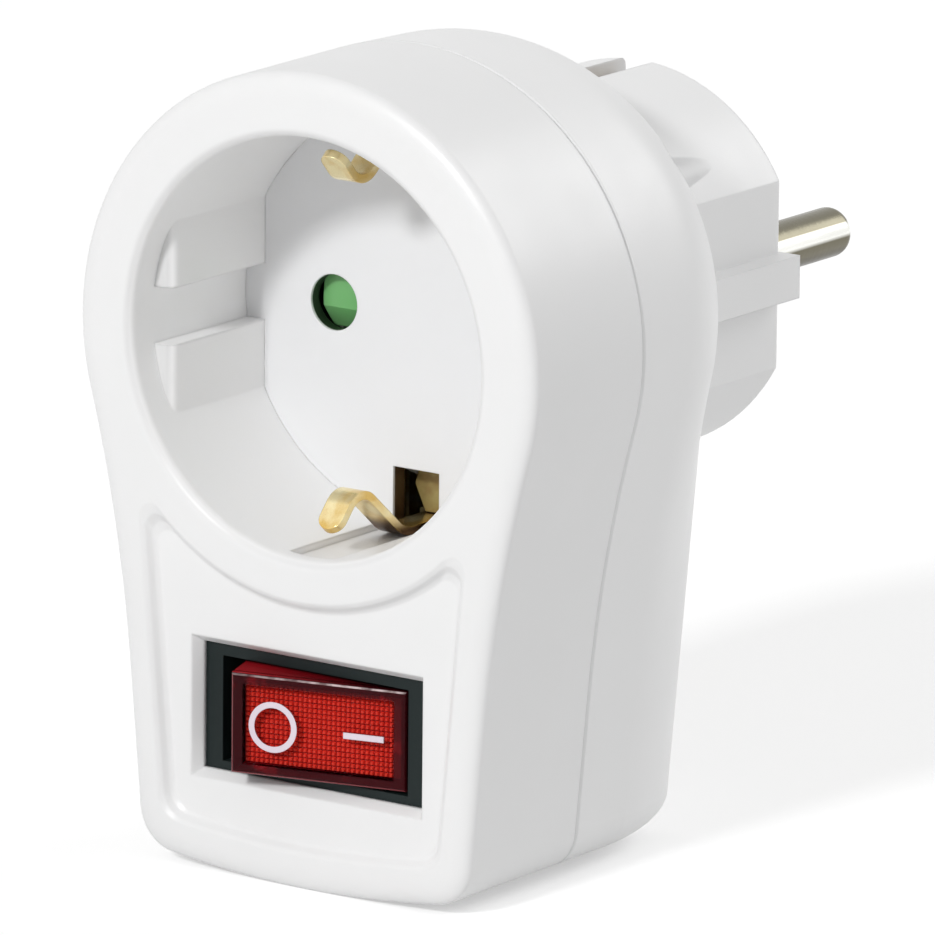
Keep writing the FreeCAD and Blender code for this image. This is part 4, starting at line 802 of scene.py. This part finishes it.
class ShapeTree(NodeKit):
    """A Geometry Nodes tree with named inputs, and the plain mesh that it makes."""

    def __init__(
        self,
        name: str,
        sizes: dict[str, float],
        counts: dict[str, int],
        finishes: dict[str, Finish],
    ) -> None:
        """Start a tree.

        Args:
            name: the tree's name.
            sizes: its named lengths and angles, with their values.
            counts: its named whole numbers, with their values.
            finishes: its named finishes.
        """
        super().__init__(bpy.data.node_groups.new(name, "GeometryNodeTree"))
        face = self.tree.interface
        face.new_socket("Geometry", in_out="OUTPUT", socket_type="NodeSocketGeometry")
        face.new_socket("Geometry", in_out="INPUT", socket_type="NodeSocketGeometry")
        self.values: dict[str, object] = {**sizes, **counts}
        for key in sizes:
            face.new_socket(key, in_out="INPUT", socket_type="NodeSocketFloat")
        for key in counts:
            face.new_socket(key, in_out="INPUT", socket_type="NodeSocketInt")
        for key, finish in finishes.items():
            face.new_socket(key, in_out="INPUT", socket_type="NodeSocketMaterial")
            self.values[key] = finish.material()
        self.entry = self.tree.nodes.new("NodeGroupInput")

    def given(self, name: str) -> Socket:
        """One of the tree's named inputs."""
        return self.entry.outputs[name]

    def vector(self, x: Socket | float, y: Socket | float, z: Socket | float) -> Socket:
        """Put three values together as a vector."""
        return self.add("ShaderNodeCombineXYZ", X=x, Y=y, Z=z).outputs["Vector"]

    def moved(self, shape: Socket, offset: Socket) -> Socket:
        """Shift a shape."""
        node = self.add("GeometryNodeTransform", Geometry=shape, Translation=offset)
        return node.outputs["Geometry"]

    def joined(self, *shapes: Socket) -> Socket:
        """Put shapes together."""
        return self.add("GeometryNodeJoinGeometry", Geometry=list(shapes)).outputs["Geometry"]

    def covered(self, shape: Socket, finish: str, selection: Socket | bool = True) -> Socket:
        """Give a shape, or the chosen faces of it, one of the named finishes."""
        inputs = {"Geometry": shape, "Selection": selection, "Material": self.given(finish)}
        return self.add("GeometryNodeSetMaterial", **inputs).outputs["Geometry"]

    def realized(self, shape: Socket) -> Socket:
        """Turn instances into plain geometry."""
        return self.add("GeometryNodeRealizeInstances", Geometry=shape).outputs["Geometry"]

    def make(
        self, name: str, shape: Socket, points: list[Vector], place_at: Matrix, smooth: float
    ) -> bpy.types.Object:
        """Close the tree, run it and keep what it makes as a plain mesh.

        Args:
            name: the new piece's name.
            shape: the tree's result.
            points: the points that the tree is given.
            place_at: where the result goes.
            smooth: the widest angle that is still shaded smooth, in degrees.

        Returns:
            The piece.
        """
        leave = self.tree.nodes.new("NodeGroupOutput")
        self.tree.links.new(shape, leave.inputs["Geometry"])
        seed_mesh = bpy.data.meshes.new(f"{name}_points")
        seed_mesh.from_pydata([tuple(p) for p in points], [], [])
        maker = new_object(f"{name}_maker", seed_mesh)
        modifier = maker.modifiers.new("shape", "NODES")
        modifier.node_group = self.tree
        for item in self.tree.interface.items_tree:
            if item.in_out == "INPUT" and item.name in self.values:
                modifier[item.identifier] = self.values[item.name]
        bpy.context.view_layer.update()
        graph = bpy.context.evaluated_depsgraph_get()
        mesh = bpy.data.meshes.new_from_object(maker.evaluated_get(graph), depsgraph=graph)
        maker.modifiers.remove(modifier)
        bpy.data.objects.remove(maker)
        mesh.transform(place_at)
        self.close(mesh)
        mesh.shade_smooth()
        mesh.set_sharp_from_angle(angle=math.radians(smooth))
        mesh.name = name
        return new_object(name, mesh)

    def close(self, mesh: bpy.types.Mesh) -> None:
        """Merge a mesh's doubles and turn its faces outwards.

        Args:
            mesh: the mesh.
        """
        work = bmesh.new()
        work.from_mesh(mesh)
        bmesh.ops.remove_doubles(work, verts=work.verts, dist=MERGE_WITHIN)
        bmesh.ops.recalc_face_normals(work, faces=work.faces)
        work.to_mesh(mesh)
        work.free()


@dataclass
class ScrewSet:
    """A set of like screws with pan heads, crosses and cut threads; sizes are millimetres."""

    node: str
    places: tuple[Span, ...]
    seat_y: float
    head_radius: float
    head_height: float
    shank_radius: float
    length: float
    cross_reach: float
    cross_depth: float
    points_to_wall: bool = False
    cross_half: float = 0.3
    thread_pitch: float = 0.8
    thread_height: float = 0.22
    crown_from: float = 0.4
    crown_drop: float = 0.9
    smooth: float = 32.0

    def build(self) -> bpy.types.Object:
        """Build the screws and let them stand for the CAD node.

        Returns:
            The new piece.
        """
        tree = ShapeTree(
            f"{self.node}_tree",
            {
                "Head radius": self.head_radius,
                "Head height": self.head_height,
                "Shank radius": self.shank_radius,
                "Length": self.length,
                "Cross reach": self.cross_reach,
                "Cross half": self.cross_half,
                "Cross depth": self.cross_depth,
                "Thread pitch": self.thread_pitch,
                "Thread height": self.thread_height,
                "Turn": math.radians(90.0 if self.points_to_wall else -90.0),
            },
            {"Round count": 36},
            {"Finish": ZINC},
        )
        screw = tree.joined(self.head(tree), self.shank(tree), self.thread(tree))
        angles = tree.vector(tree.given("Turn"), 0.0, 0.0)
        turn = tree.add("FunctionNodeEulerToRotation", Euler=angles)
        placed = tree.add(
            "GeometryNodeInstanceOnPoints",
            Points=tree.given("Geometry"),
            Instance=screw,
            Rotation=turn.outputs["Rotation"],
            Scale=(MM, MM, MM),
        )
        shape = tree.covered(tree.realized(placed.outputs["Instances"]), "Finish")
        points = [place(x, self.seat_y, z) for x, z in self.places]
        piece = tree.make(f"{self.node}_threaded", shape, points, Matrix.Identity(4), self.smooth)
        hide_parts(self.node)
        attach(piece, "case")
        log.info("%s: %d screws, %d faces", piece.name, len(self.places), len(piece.data.polygons))
        return piece

    def head(self, tree: ShapeTree) -> Socket:
        """A pan head on the seat, with a cross cut in it.

        Args:
            tree: the tree it is built in.

        Returns:
            The head's socket.
        """
        top = tree.vector(0.0, 0.0, tree.given("Head height"))
        line = tree.add("GeometryNodeCurvePrimitiveLine", End=top)
        along = tree.add("GeometryNodeResampleCurve", Curve=line.outputs["Curve"], Count=12)
        factor = tree.add("GeometryNodeSplineParameter").outputs["Factor"]
        past = tree.math("MAXIMUM", tree.math("SUBTRACT", factor, self.crown_from), 0.0)
        drop = tree.math("MULTIPLY", tree.math("POWER", past, 2.0), self.crown_drop)
        radius = tree.math("MULTIPLY", tree.given("Head radius"), tree.math("SUBTRACT", 1.0, drop))
        ring = tree.add(
            "GeometryNodeCurvePrimitiveCircle", Resolution=tree.given("Round count"), Radius=1.0
        )
        head = tree.add(
            "GeometryNodeCurveToMesh",
            Curve=along.outputs["Curve"],
            Profile_Curve=ring.outputs["Curve"],
            Scale=radius,
            Fill_Caps=True,
        )
        reach, width, depth = (
            tree.math("MULTIPLY", tree.given(f"Cross {side}"), 2.0)
            for side in ("reach", "half", "depth")
        )
        bars = []
        for size in ((reach, width, depth), (width, reach, depth)):
            bar = tree.add("GeometryNodeMeshCube", Size=tree.vector(*size)).outputs["Mesh"]
            bars.append(tree.moved(bar, top))
        cut = tree.add("GeometryNodeMeshBoolean", {"operation": "DIFFERENCE"}, Mesh_2=bars)
        tree.feed(cut.inputs["Mesh 1"], head.outputs["Mesh"])
        return cut.outputs["Mesh"]

    def shank(self, tree: ShapeTree) -> Socket:
        """The plain core of the shank.

        Args:
            tree: the tree it is built in.

        Returns:
            The core's socket.
        """
        radius = tree.math("SUBTRACT", tree.given("Shank radius"), tree.given("Thread height"))
        core = tree.add(
            "GeometryNodeMeshCylinder",
            Vertices=tree.given("Round count"),
            Radius=radius,
            Depth=tree.given("Length"),
        )
        half = tree.math("MULTIPLY", tree.given("Length"), -0.5)
        return tree.moved(core.outputs["Mesh"], tree.vector(0.0, 0.0, half))

    def thread(self, tree: ShapeTree) -> Socket:
        """A sharp thread wound round the core.

        Args:
            tree: the tree it is built in.

        Returns:
            The thread's socket.
        """
        crest = tree.given("Thread height")
        run = tree.math("SUBTRACT", tree.given("Length"), tree.math("MULTIPLY", crest, 2.0))
        middle = tree.math("SUBTRACT", tree.given("Shank radius"), crest)
        coil = tree.add(
            "GeometryNodeCurveSpiral",
            Resolution=24,
            Rotations=tree.math("DIVIDE", run, tree.given("Thread pitch")),
            Start_Radius=middle,
            End_Radius=middle,
            Height=run,
        )
        section = tree.add("GeometryNodeCurvePrimitiveCircle", Resolution=4, Radius=crest)
        thread = tree.add(
            "GeometryNodeCurveToMesh",
            Curve=coil.outputs["Curve"],
            Profile_Curve=section.outputs["Curve"],
            Fill_Caps=True,
        )
        low = tree.math("SUBTRACT", crest, tree.given("Length"))
        return tree.moved(thread.outputs["Mesh"], tree.vector(0.0, 0.0, low))


@dataclass
class Case:
    """The two case mouldings, the recess floor and the screws that hold them."""

    upper_screw: Span = (15.911, 13.163)
    lower_screw: Span = (13.85, -42.6)
    screw_seat_y: float = 27.02

    def build(self) -> None:
        """Dress the mouldings and make the screws."""
        dress_nodes({WHITE_FRONT: "front_housing", WHITE_REAR: "rear_housing"})
        dress_nodes({WHITE_FLOOR: "socket_base"})
        pairs = (self.upper_screw, self.lower_screw)
        ScrewSet(
            node="housing_screws",
            places=tuple((side * x, z) for x, z in pairs for side in (1.0, -1.0)),
            seat_y=self.screw_seat_y,
            head_radius=2.1,
            head_height=1.8,
            shank_radius=1.4,
            length=7.0,
            cross_reach=1.3,
            cross_depth=0.9,
        ).build()


@dataclass
class SocketInside:
    """What lies behind the recess floor: the shutter, the carrier and the live and earth strips."""

    carrier_screw: Span = (8.05, 13.943)
    carrier_seat_y: float = 24.82
    carrier_length: float = 5.2
    holder_screw_z: float = 10.0
    holder_seat_y: float = 47.08
    holder_length: float = 4.9
    small_head: Span = (2.0, 1.3)
    small_shank: float = 1.0
    small_cross: Span = (1.1, 0.7)
    tab_y: float = 20.9
    tab_wall: float = 0.5
    tab_foot: float = 2.4
    tab_sides: Span = (-1.0, 2.3)
    tab_tip: tuple[Span, ...] = ((2.3, 14.9), (-1.7, 14.9), (-2.2, 16.6))
    tab_edge: float = 0.08
    strip_z: float = 19.15

    def build(self) -> None:
        """Dress the nodes and make the small screws."""
        dress_nodes(
            {
                SHUTTER_GREEN: "shutter_rotor",
                ZINC: "shutter_pivot",
                SPRING_WIRE: "shutter_spring",
                INNER_PLASTIC: "contact_carrier pin_holder",
                OLD_BRASS: "plug_earth_bow",
                BRASS: "socket_earth_bow earth_rivet left_socket_contact right_socket_contact"
                " left_socket_strip right_socket_strip left_pin_strip right_pin_strip",
                NICKEL: "left_plug_pin right_plug_pin",
            }
        )
        for level in (1.0, -1.0):
            self.tab(level)
        self.small_screws(
            "carrier_screws", self.carrier_screw, self.carrier_seat_y, self.carrier_length, False
        )
        holder = (0.0, self.holder_screw_z)
        self.small_screws("holder_screws", holder, self.holder_seat_y, self.holder_length, True)

    def small_screws(
        self, node: str, spot: Span, seat_y: float, length: float, to_wall: bool
    ) -> None:
        """Make two small screws that lie opposite each other across the socket's axis.

        Args:
            node: the CAD node that they stand for.
            spot: the first one's place across and above the axis.
            seat_y: how far behind the front face their heads sit.
            length: how long they are under the head.
            to_wall: whether they point to the wall and not to the front.
        """
        x, z = spot
        ScrewSet(
            node, ((x, z), (-x, -z)), seat_y, *self.small_head, self.small_shank, length,
            *self.small_cross, to_wall,
        ).build()

    def tab(self, level: float) -> bpy.types.Object:
        """A bent brass tab that stands behind an earth slot, with its foot on the strip.

        Args:
            level: 1 for the upper slot and -1 for the lower one.

        Returns:
            The new piece.
        """
        wall = self.tab_wall
        front = self.tab_y
        reach = self.strip_z
        left, right = self.tab_sides
        outline = ((right, reach), *self.tab_tip, (left, reach))
        foot = ((right, reach), (left, reach), (left, reach - wall), (right, reach - wall))
        spans = ((front, front + wall), (front + wall * 0.5, front + self.tab_foot))
        work = bmesh.new()
        for corners, span in zip((outline, foot), spans):
            near, far = (
                [work.verts.new(place(x, y, level * z)) for x, z in corners] for y in span
            )
            work.faces.new(near)
            work.faces.new(far)
            for index in range(len(corners)):
                after = (index + 1) % len(corners)
                work.faces.new((near[index], near[after], far[after], far[index]))
        bmesh.ops.recalc_face_normals(work, faces=work.faces)
        bmesh.ops.bevel(
            work, geom=list(work.edges), offset=self.tab_edge * MM, segments=2, profile=0.5,
            affect="EDGES",
        )
        name = "upper_earth_tab" if level > 0 else "lower_earth_tab"
        mesh = bpy.data.meshes.new(name)
        work.to_mesh(mesh)
        work.free()
        piece = new_object(name, mesh)
        dress(piece, DULL_BRASS)
        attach(piece, "case")
        log.info("%s: %d faces", name, len(mesh.polygons))
        return piece


@dataclass
class Rocker:
    """The lit rocker and the switch around it; sizes are millimetres about its pivot."""

    plate_half_x: float = 7.75
    plate_half_z: float = 3.8
    plate_back: float = 5.78
    plate_thickness: float = 0.6
    cell_height: float = 0.28
    cell_pitch: float = 0.475
    cells_across: int = 31
    cells_up: int = 16
    cells_shift: float = -0.3
    cell_foot: float = 0.41
    cell_top: float = 0.24
    groove_reach: float = 0.02
    smooth: float = 5.0

    def build(self) -> None:
        """Dress the switch's nodes and make the diffuser's cells."""
        dress_nodes(
            {
                SWITCH_BLACK: "switch_frame switch_base rocker_carrier",
                LENS_RED: "rocker_lens",
                MARK_INK: "rocker_marks",
                LAMP_GLASS: "neon_lamp",
                RESISTOR: "lamp_resistor",
                PLUNGER_PLASTIC: "upper_plunger lower_plunger",
                SPRING_WIRE: "upper_plunger_spring lower_plunger_spring",
                BRASS: "upper_pivot_terminal lower_pivot_terminal upper_load_terminal"
                " lower_load_terminal upper_contact_lever lower_contact_lever",
                SILVER: "fixed_contacts upper_lever_contact lower_lever_contact",
            }
        )
        self.diffuser()

    def face_frame(self) -> Matrix:
        """The rocker's own frame: X along it, Y up and Z out of its face, from its pivot.

        Returns:
            The matrix from millimetres in that frame to the CAD frame.
        """
        tilt = Matrix.Rotation(math.radians(ROCKER_TILT), 4, "Z")
        upright = Matrix.Rotation(math.radians(90.0), 4, "X")
        return Matrix.Translation(place(*ROCKER_PIVOT)) @ tilt @ upright @ Matrix.Scale(MM, 4)

    def diffuser(self) -> bpy.types.Object:
        """Build the diffuser: a plate with rows of small cut cells on its face.

        Returns:
            The new piece.
        """
        half_diagonal = self.cell_pitch * math.sqrt(2.0)
        tree = ShapeTree(
            "diffuser_tree",
            {
                "Width": self.plate_half_x * 2,
                "Height": self.plate_half_z * 2,
                "Thickness": self.plate_thickness,
                "Back": self.plate_back,
                "Pitch": self.cell_pitch,
                "Cell height": self.cell_height,
                "Cell foot": self.cell_foot * half_diagonal,
                "Cell top": self.cell_top * half_diagonal,
                "Shift": self.cells_shift,
            },
            {"Across": self.cells_across, "Up": self.cells_up},
            {"Cells": CELL_RED, "Grooves": GROOVE_SHADE_RED},
        )
        size = tree.vector(tree.given("Width"), tree.given("Height"), tree.given("Thickness"))
        half = tree.math("MULTIPLY", tree.given("Thickness"), 0.5)
        middle = tree.math("ADD", tree.given("Back"), half)
        plate = tree.add("GeometryNodeMeshCube", Size=size).outputs["Mesh"]
        plate = tree.moved(plate, tree.vector(0.0, 0.0, middle))
        front = tree.math("ADD", tree.given("Back"), tree.given("Thickness"))
        gaps = [tree.math("SUBTRACT", tree.given(count), 1.0) for count in ("Across", "Up")]
        spans = [tree.math("MULTIPLY", count, tree.given("Pitch")) for count in gaps]
        grid = tree.add(
            "GeometryNodeMeshGrid",
            Size_X=spans[0],
            Size_Y=spans[1],
            Vertices_X=tree.given("Across"),
            Vertices_Y=tree.given("Up"),
        )
        rows = tree.moved(grid.outputs["Mesh"], tree.vector(tree.given("Shift"), 0.0, front))
        cell = tree.add(
            "GeometryNodeMeshCone",
            Vertices=4,
            Radius_Top=tree.given("Cell top"),
            Radius_Bottom=tree.given("Cell foot"),
            Depth=tree.given("Cell height"),
        )
        quarter = tree.add("FunctionNodeEulerToRotation", Euler=(0.0, 0.0, math.radians(45.0)))
        cells = tree.add(
            "GeometryNodeInstanceOnPoints",
            Points=rows,
            Instance=cell.outputs["Mesh"],
            Rotation=quarter.outputs["Rotation"],
        )
        whole = tree.realized(tree.joined(plate, cells.outputs["Instances"]))
        position = tree.add("GeometryNodeInputPosition").outputs["Position"]
        height = tree.add("ShaderNodeSeparateXYZ", Vector=position).outputs["Z"]
        raised = tree.math("GREATER_THAN", height, tree.math("ADD", front, self.groove_reach))
        # The low faces between the cells take the painted shade of the grooves.
        shape = tree.covered(tree.covered(whole, "Grooves"), "Cells", raised)
        piece = tree.make("diffuser_cells", shape, [], self.face_frame(), self.smooth)
        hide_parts("rocker_diffuser")
        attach(piece, "rocker")
        log.info("%s: %d cells", piece.name, self.cells_across * self.cells_up)
        return piece


@dataclass
class Studio:
    """A pale floor, soft lamps and the camera at the photograph's angle."""

    azimuth: float = 35.409
    elevation: float = 13.463
    roll: float = 0.562
    distance: float = 1071.157
    focal_px: float = 11828.25
    picture_px: float = 935.0
    sensor_mm: float = 36.0
    shift_right: float = -15.045
    shift_up: float = 10.56
    floor_reach: float = 4.0
    floor_z: float = -0.02 * MM
    floor_tone: float = 0.8
    floor_lift: float = 0.42
    sky_level: float = 0.44
    shown_level: float = 1.0
    key_power: float = 9.6
    fill_power: float = 7.0
    aim_height: float = 0.04
    clip: Span = (0.05, 30.0)

    def build(self) -> None:
        """Build the camera, the lamps, the surround and the floor."""
        self.camera()
        self.sky()
        self.floor()
        front, rear = Vector((0.0, -1.0, 0.6)), Vector((0.5, 0.9, 0.65))
        self.lamp("key", front, distance=1.4, size=0.19, power=self.key_power)
        self.lamp("fill", rear, distance=1.6, size=0.9, power=self.fill_power)
        bpy.context.scene.view_settings.view_transform = "Standard"

    def camera(self) -> bpy.types.Object:
        """Build the camera.

        Returns:
            The camera, set as the scene's own.
        """
        a, e, r = (math.radians(v) for v in (self.azimuth, self.elevation, self.roll))
        back = Vector((math.sin(a) * math.cos(e), -math.cos(a) * math.cos(e), math.sin(e)))
        level = Vector((math.cos(a), math.sin(a), 0.0))
        rise = back.cross(level)
        right = level * math.cos(r) + rise * math.sin(r)
        up = rise * math.cos(r) - level * math.sin(r)
        spot = back * self.distance - right * self.shift_right - up * self.shift_up
        data = bpy.data.cameras.new("camera")
        data.sensor_width = self.sensor_mm
        data.lens = self.sensor_mm * self.focal_px / self.picture_px
        data.clip_start, data.clip_end = self.clip
        camera = new_object("camera", data)
        turn = Matrix((right, up, back)).transposed().to_4x4()
        camera.matrix_world = Matrix.Translation(place(*spot)) @ turn
        bpy.context.scene.camera = camera
        return camera

    def lamp(
        self, name: str, direction: Vector, distance: float, size: float, power: float
    ) -> None:
        """Add a square soft lamp that faces the object.

        Args:
            name: the lamp's name.
            direction: from the object towards the lamp.
            distance: how far off it stands, in metres.
            size: its side, in metres.
            power: its power in watts.
        """
        data = bpy.data.lights.new(name, "AREA")
        data.shape = "SQUARE"
        data.size = size
        data.energy = power
        lamp = new_object(name, data)
        heading = direction.normalized()
        lamp.rotation_mode = "QUATERNION"
        lamp.rotation_quaternion = heading.to_track_quat("Z", "Y")
        lamp.location = Vector((0.0, 0.0, self.aim_height)) + heading * distance

    def seen(self, kit: NodeKit) -> Socket:
        """Whether a ray comes from the camera, from gloss or through glass.

        Args:
            kit: the tree it is built in.

        Returns:
            1 for such a ray and 0 for one that only carries light.
        """
        path = kit.add("ShaderNodeLightPath")
        value = path.outputs["Is Camera Ray"]
        for other in ("Is Glossy Ray", "Is Transmission Ray"):
            value = kit.math("MAXIMUM", value, path.outputs[other])
        return value

    def sky(self) -> None:
        """An even white surround, pure white where the camera, gloss or glass sees it."""
        world = bpy.data.worlds.new("surround")
        world.use_nodes = True
        kit = NodeKit(world.node_tree)
        kit.tree.nodes.clear()
        mix = kit.add("ShaderNodeMixShader", Fac=self.seen(kit))
        for target, level in zip(mix.inputs[1:], (self.sky_level, self.shown_level)):
            light = kit.add("ShaderNodeBackground", Color=(1.0, 1.0, 1.0, 1.0), Strength=level)
            kit.feed(target, light.outputs["Background"])
        kit.add("ShaderNodeOutputWorld", Surface=mix.outputs["Shader"])
        bpy.context.scene.world = world

    def floor(self) -> None:
        """A wide pale floor that shows white in the light and keeps the object's shadow."""
        reach = self.floor_reach
        signs = ((-1.0, -1.0), (1.0, -1.0), (1.0, 1.0), (-1.0, 1.0))
        corners = [(x * reach, y * reach, self.floor_z) for x, y in signs]
        mesh = bpy.data.meshes.new("floor")
        mesh.from_pydata(corners, [], [(0, 1, 2, 3)])
        floor = new_object("floor", mesh)
        material = bpy.data.materials.new("pale_floor")
        material.use_nodes = True
        kit = NodeKit(material.node_tree)
        kit.tree.nodes.clear()
        paint = kit.add("ShaderNodeBsdfDiffuse", Color=(*[self.floor_tone] * 3, 1.0))
        strength = kit.math("MULTIPLY", self.seen(kit), self.floor_lift)
        lift = kit.add("ShaderNodeEmission", Strength=strength)
        both = kit.add("ShaderNodeAddShader")
        kit.feed(both.inputs[0], paint.outputs["BSDF"])
        kit.feed(both.inputs[1], lift.outputs["Emission"])
        kit.add("ShaderNodeOutputMaterial", Surface=both.outputs["Shader"])
        mesh.materials.append(material)


def main() -> None:
    """Dress every piece, make the fine ones and set the studio."""
    for part in (Case(), SocketInside(), Rocker(), Studio()):
        part.build()
        log.info("%s is done", type(part).__name__)


if __name__ == "__main__":
    main()
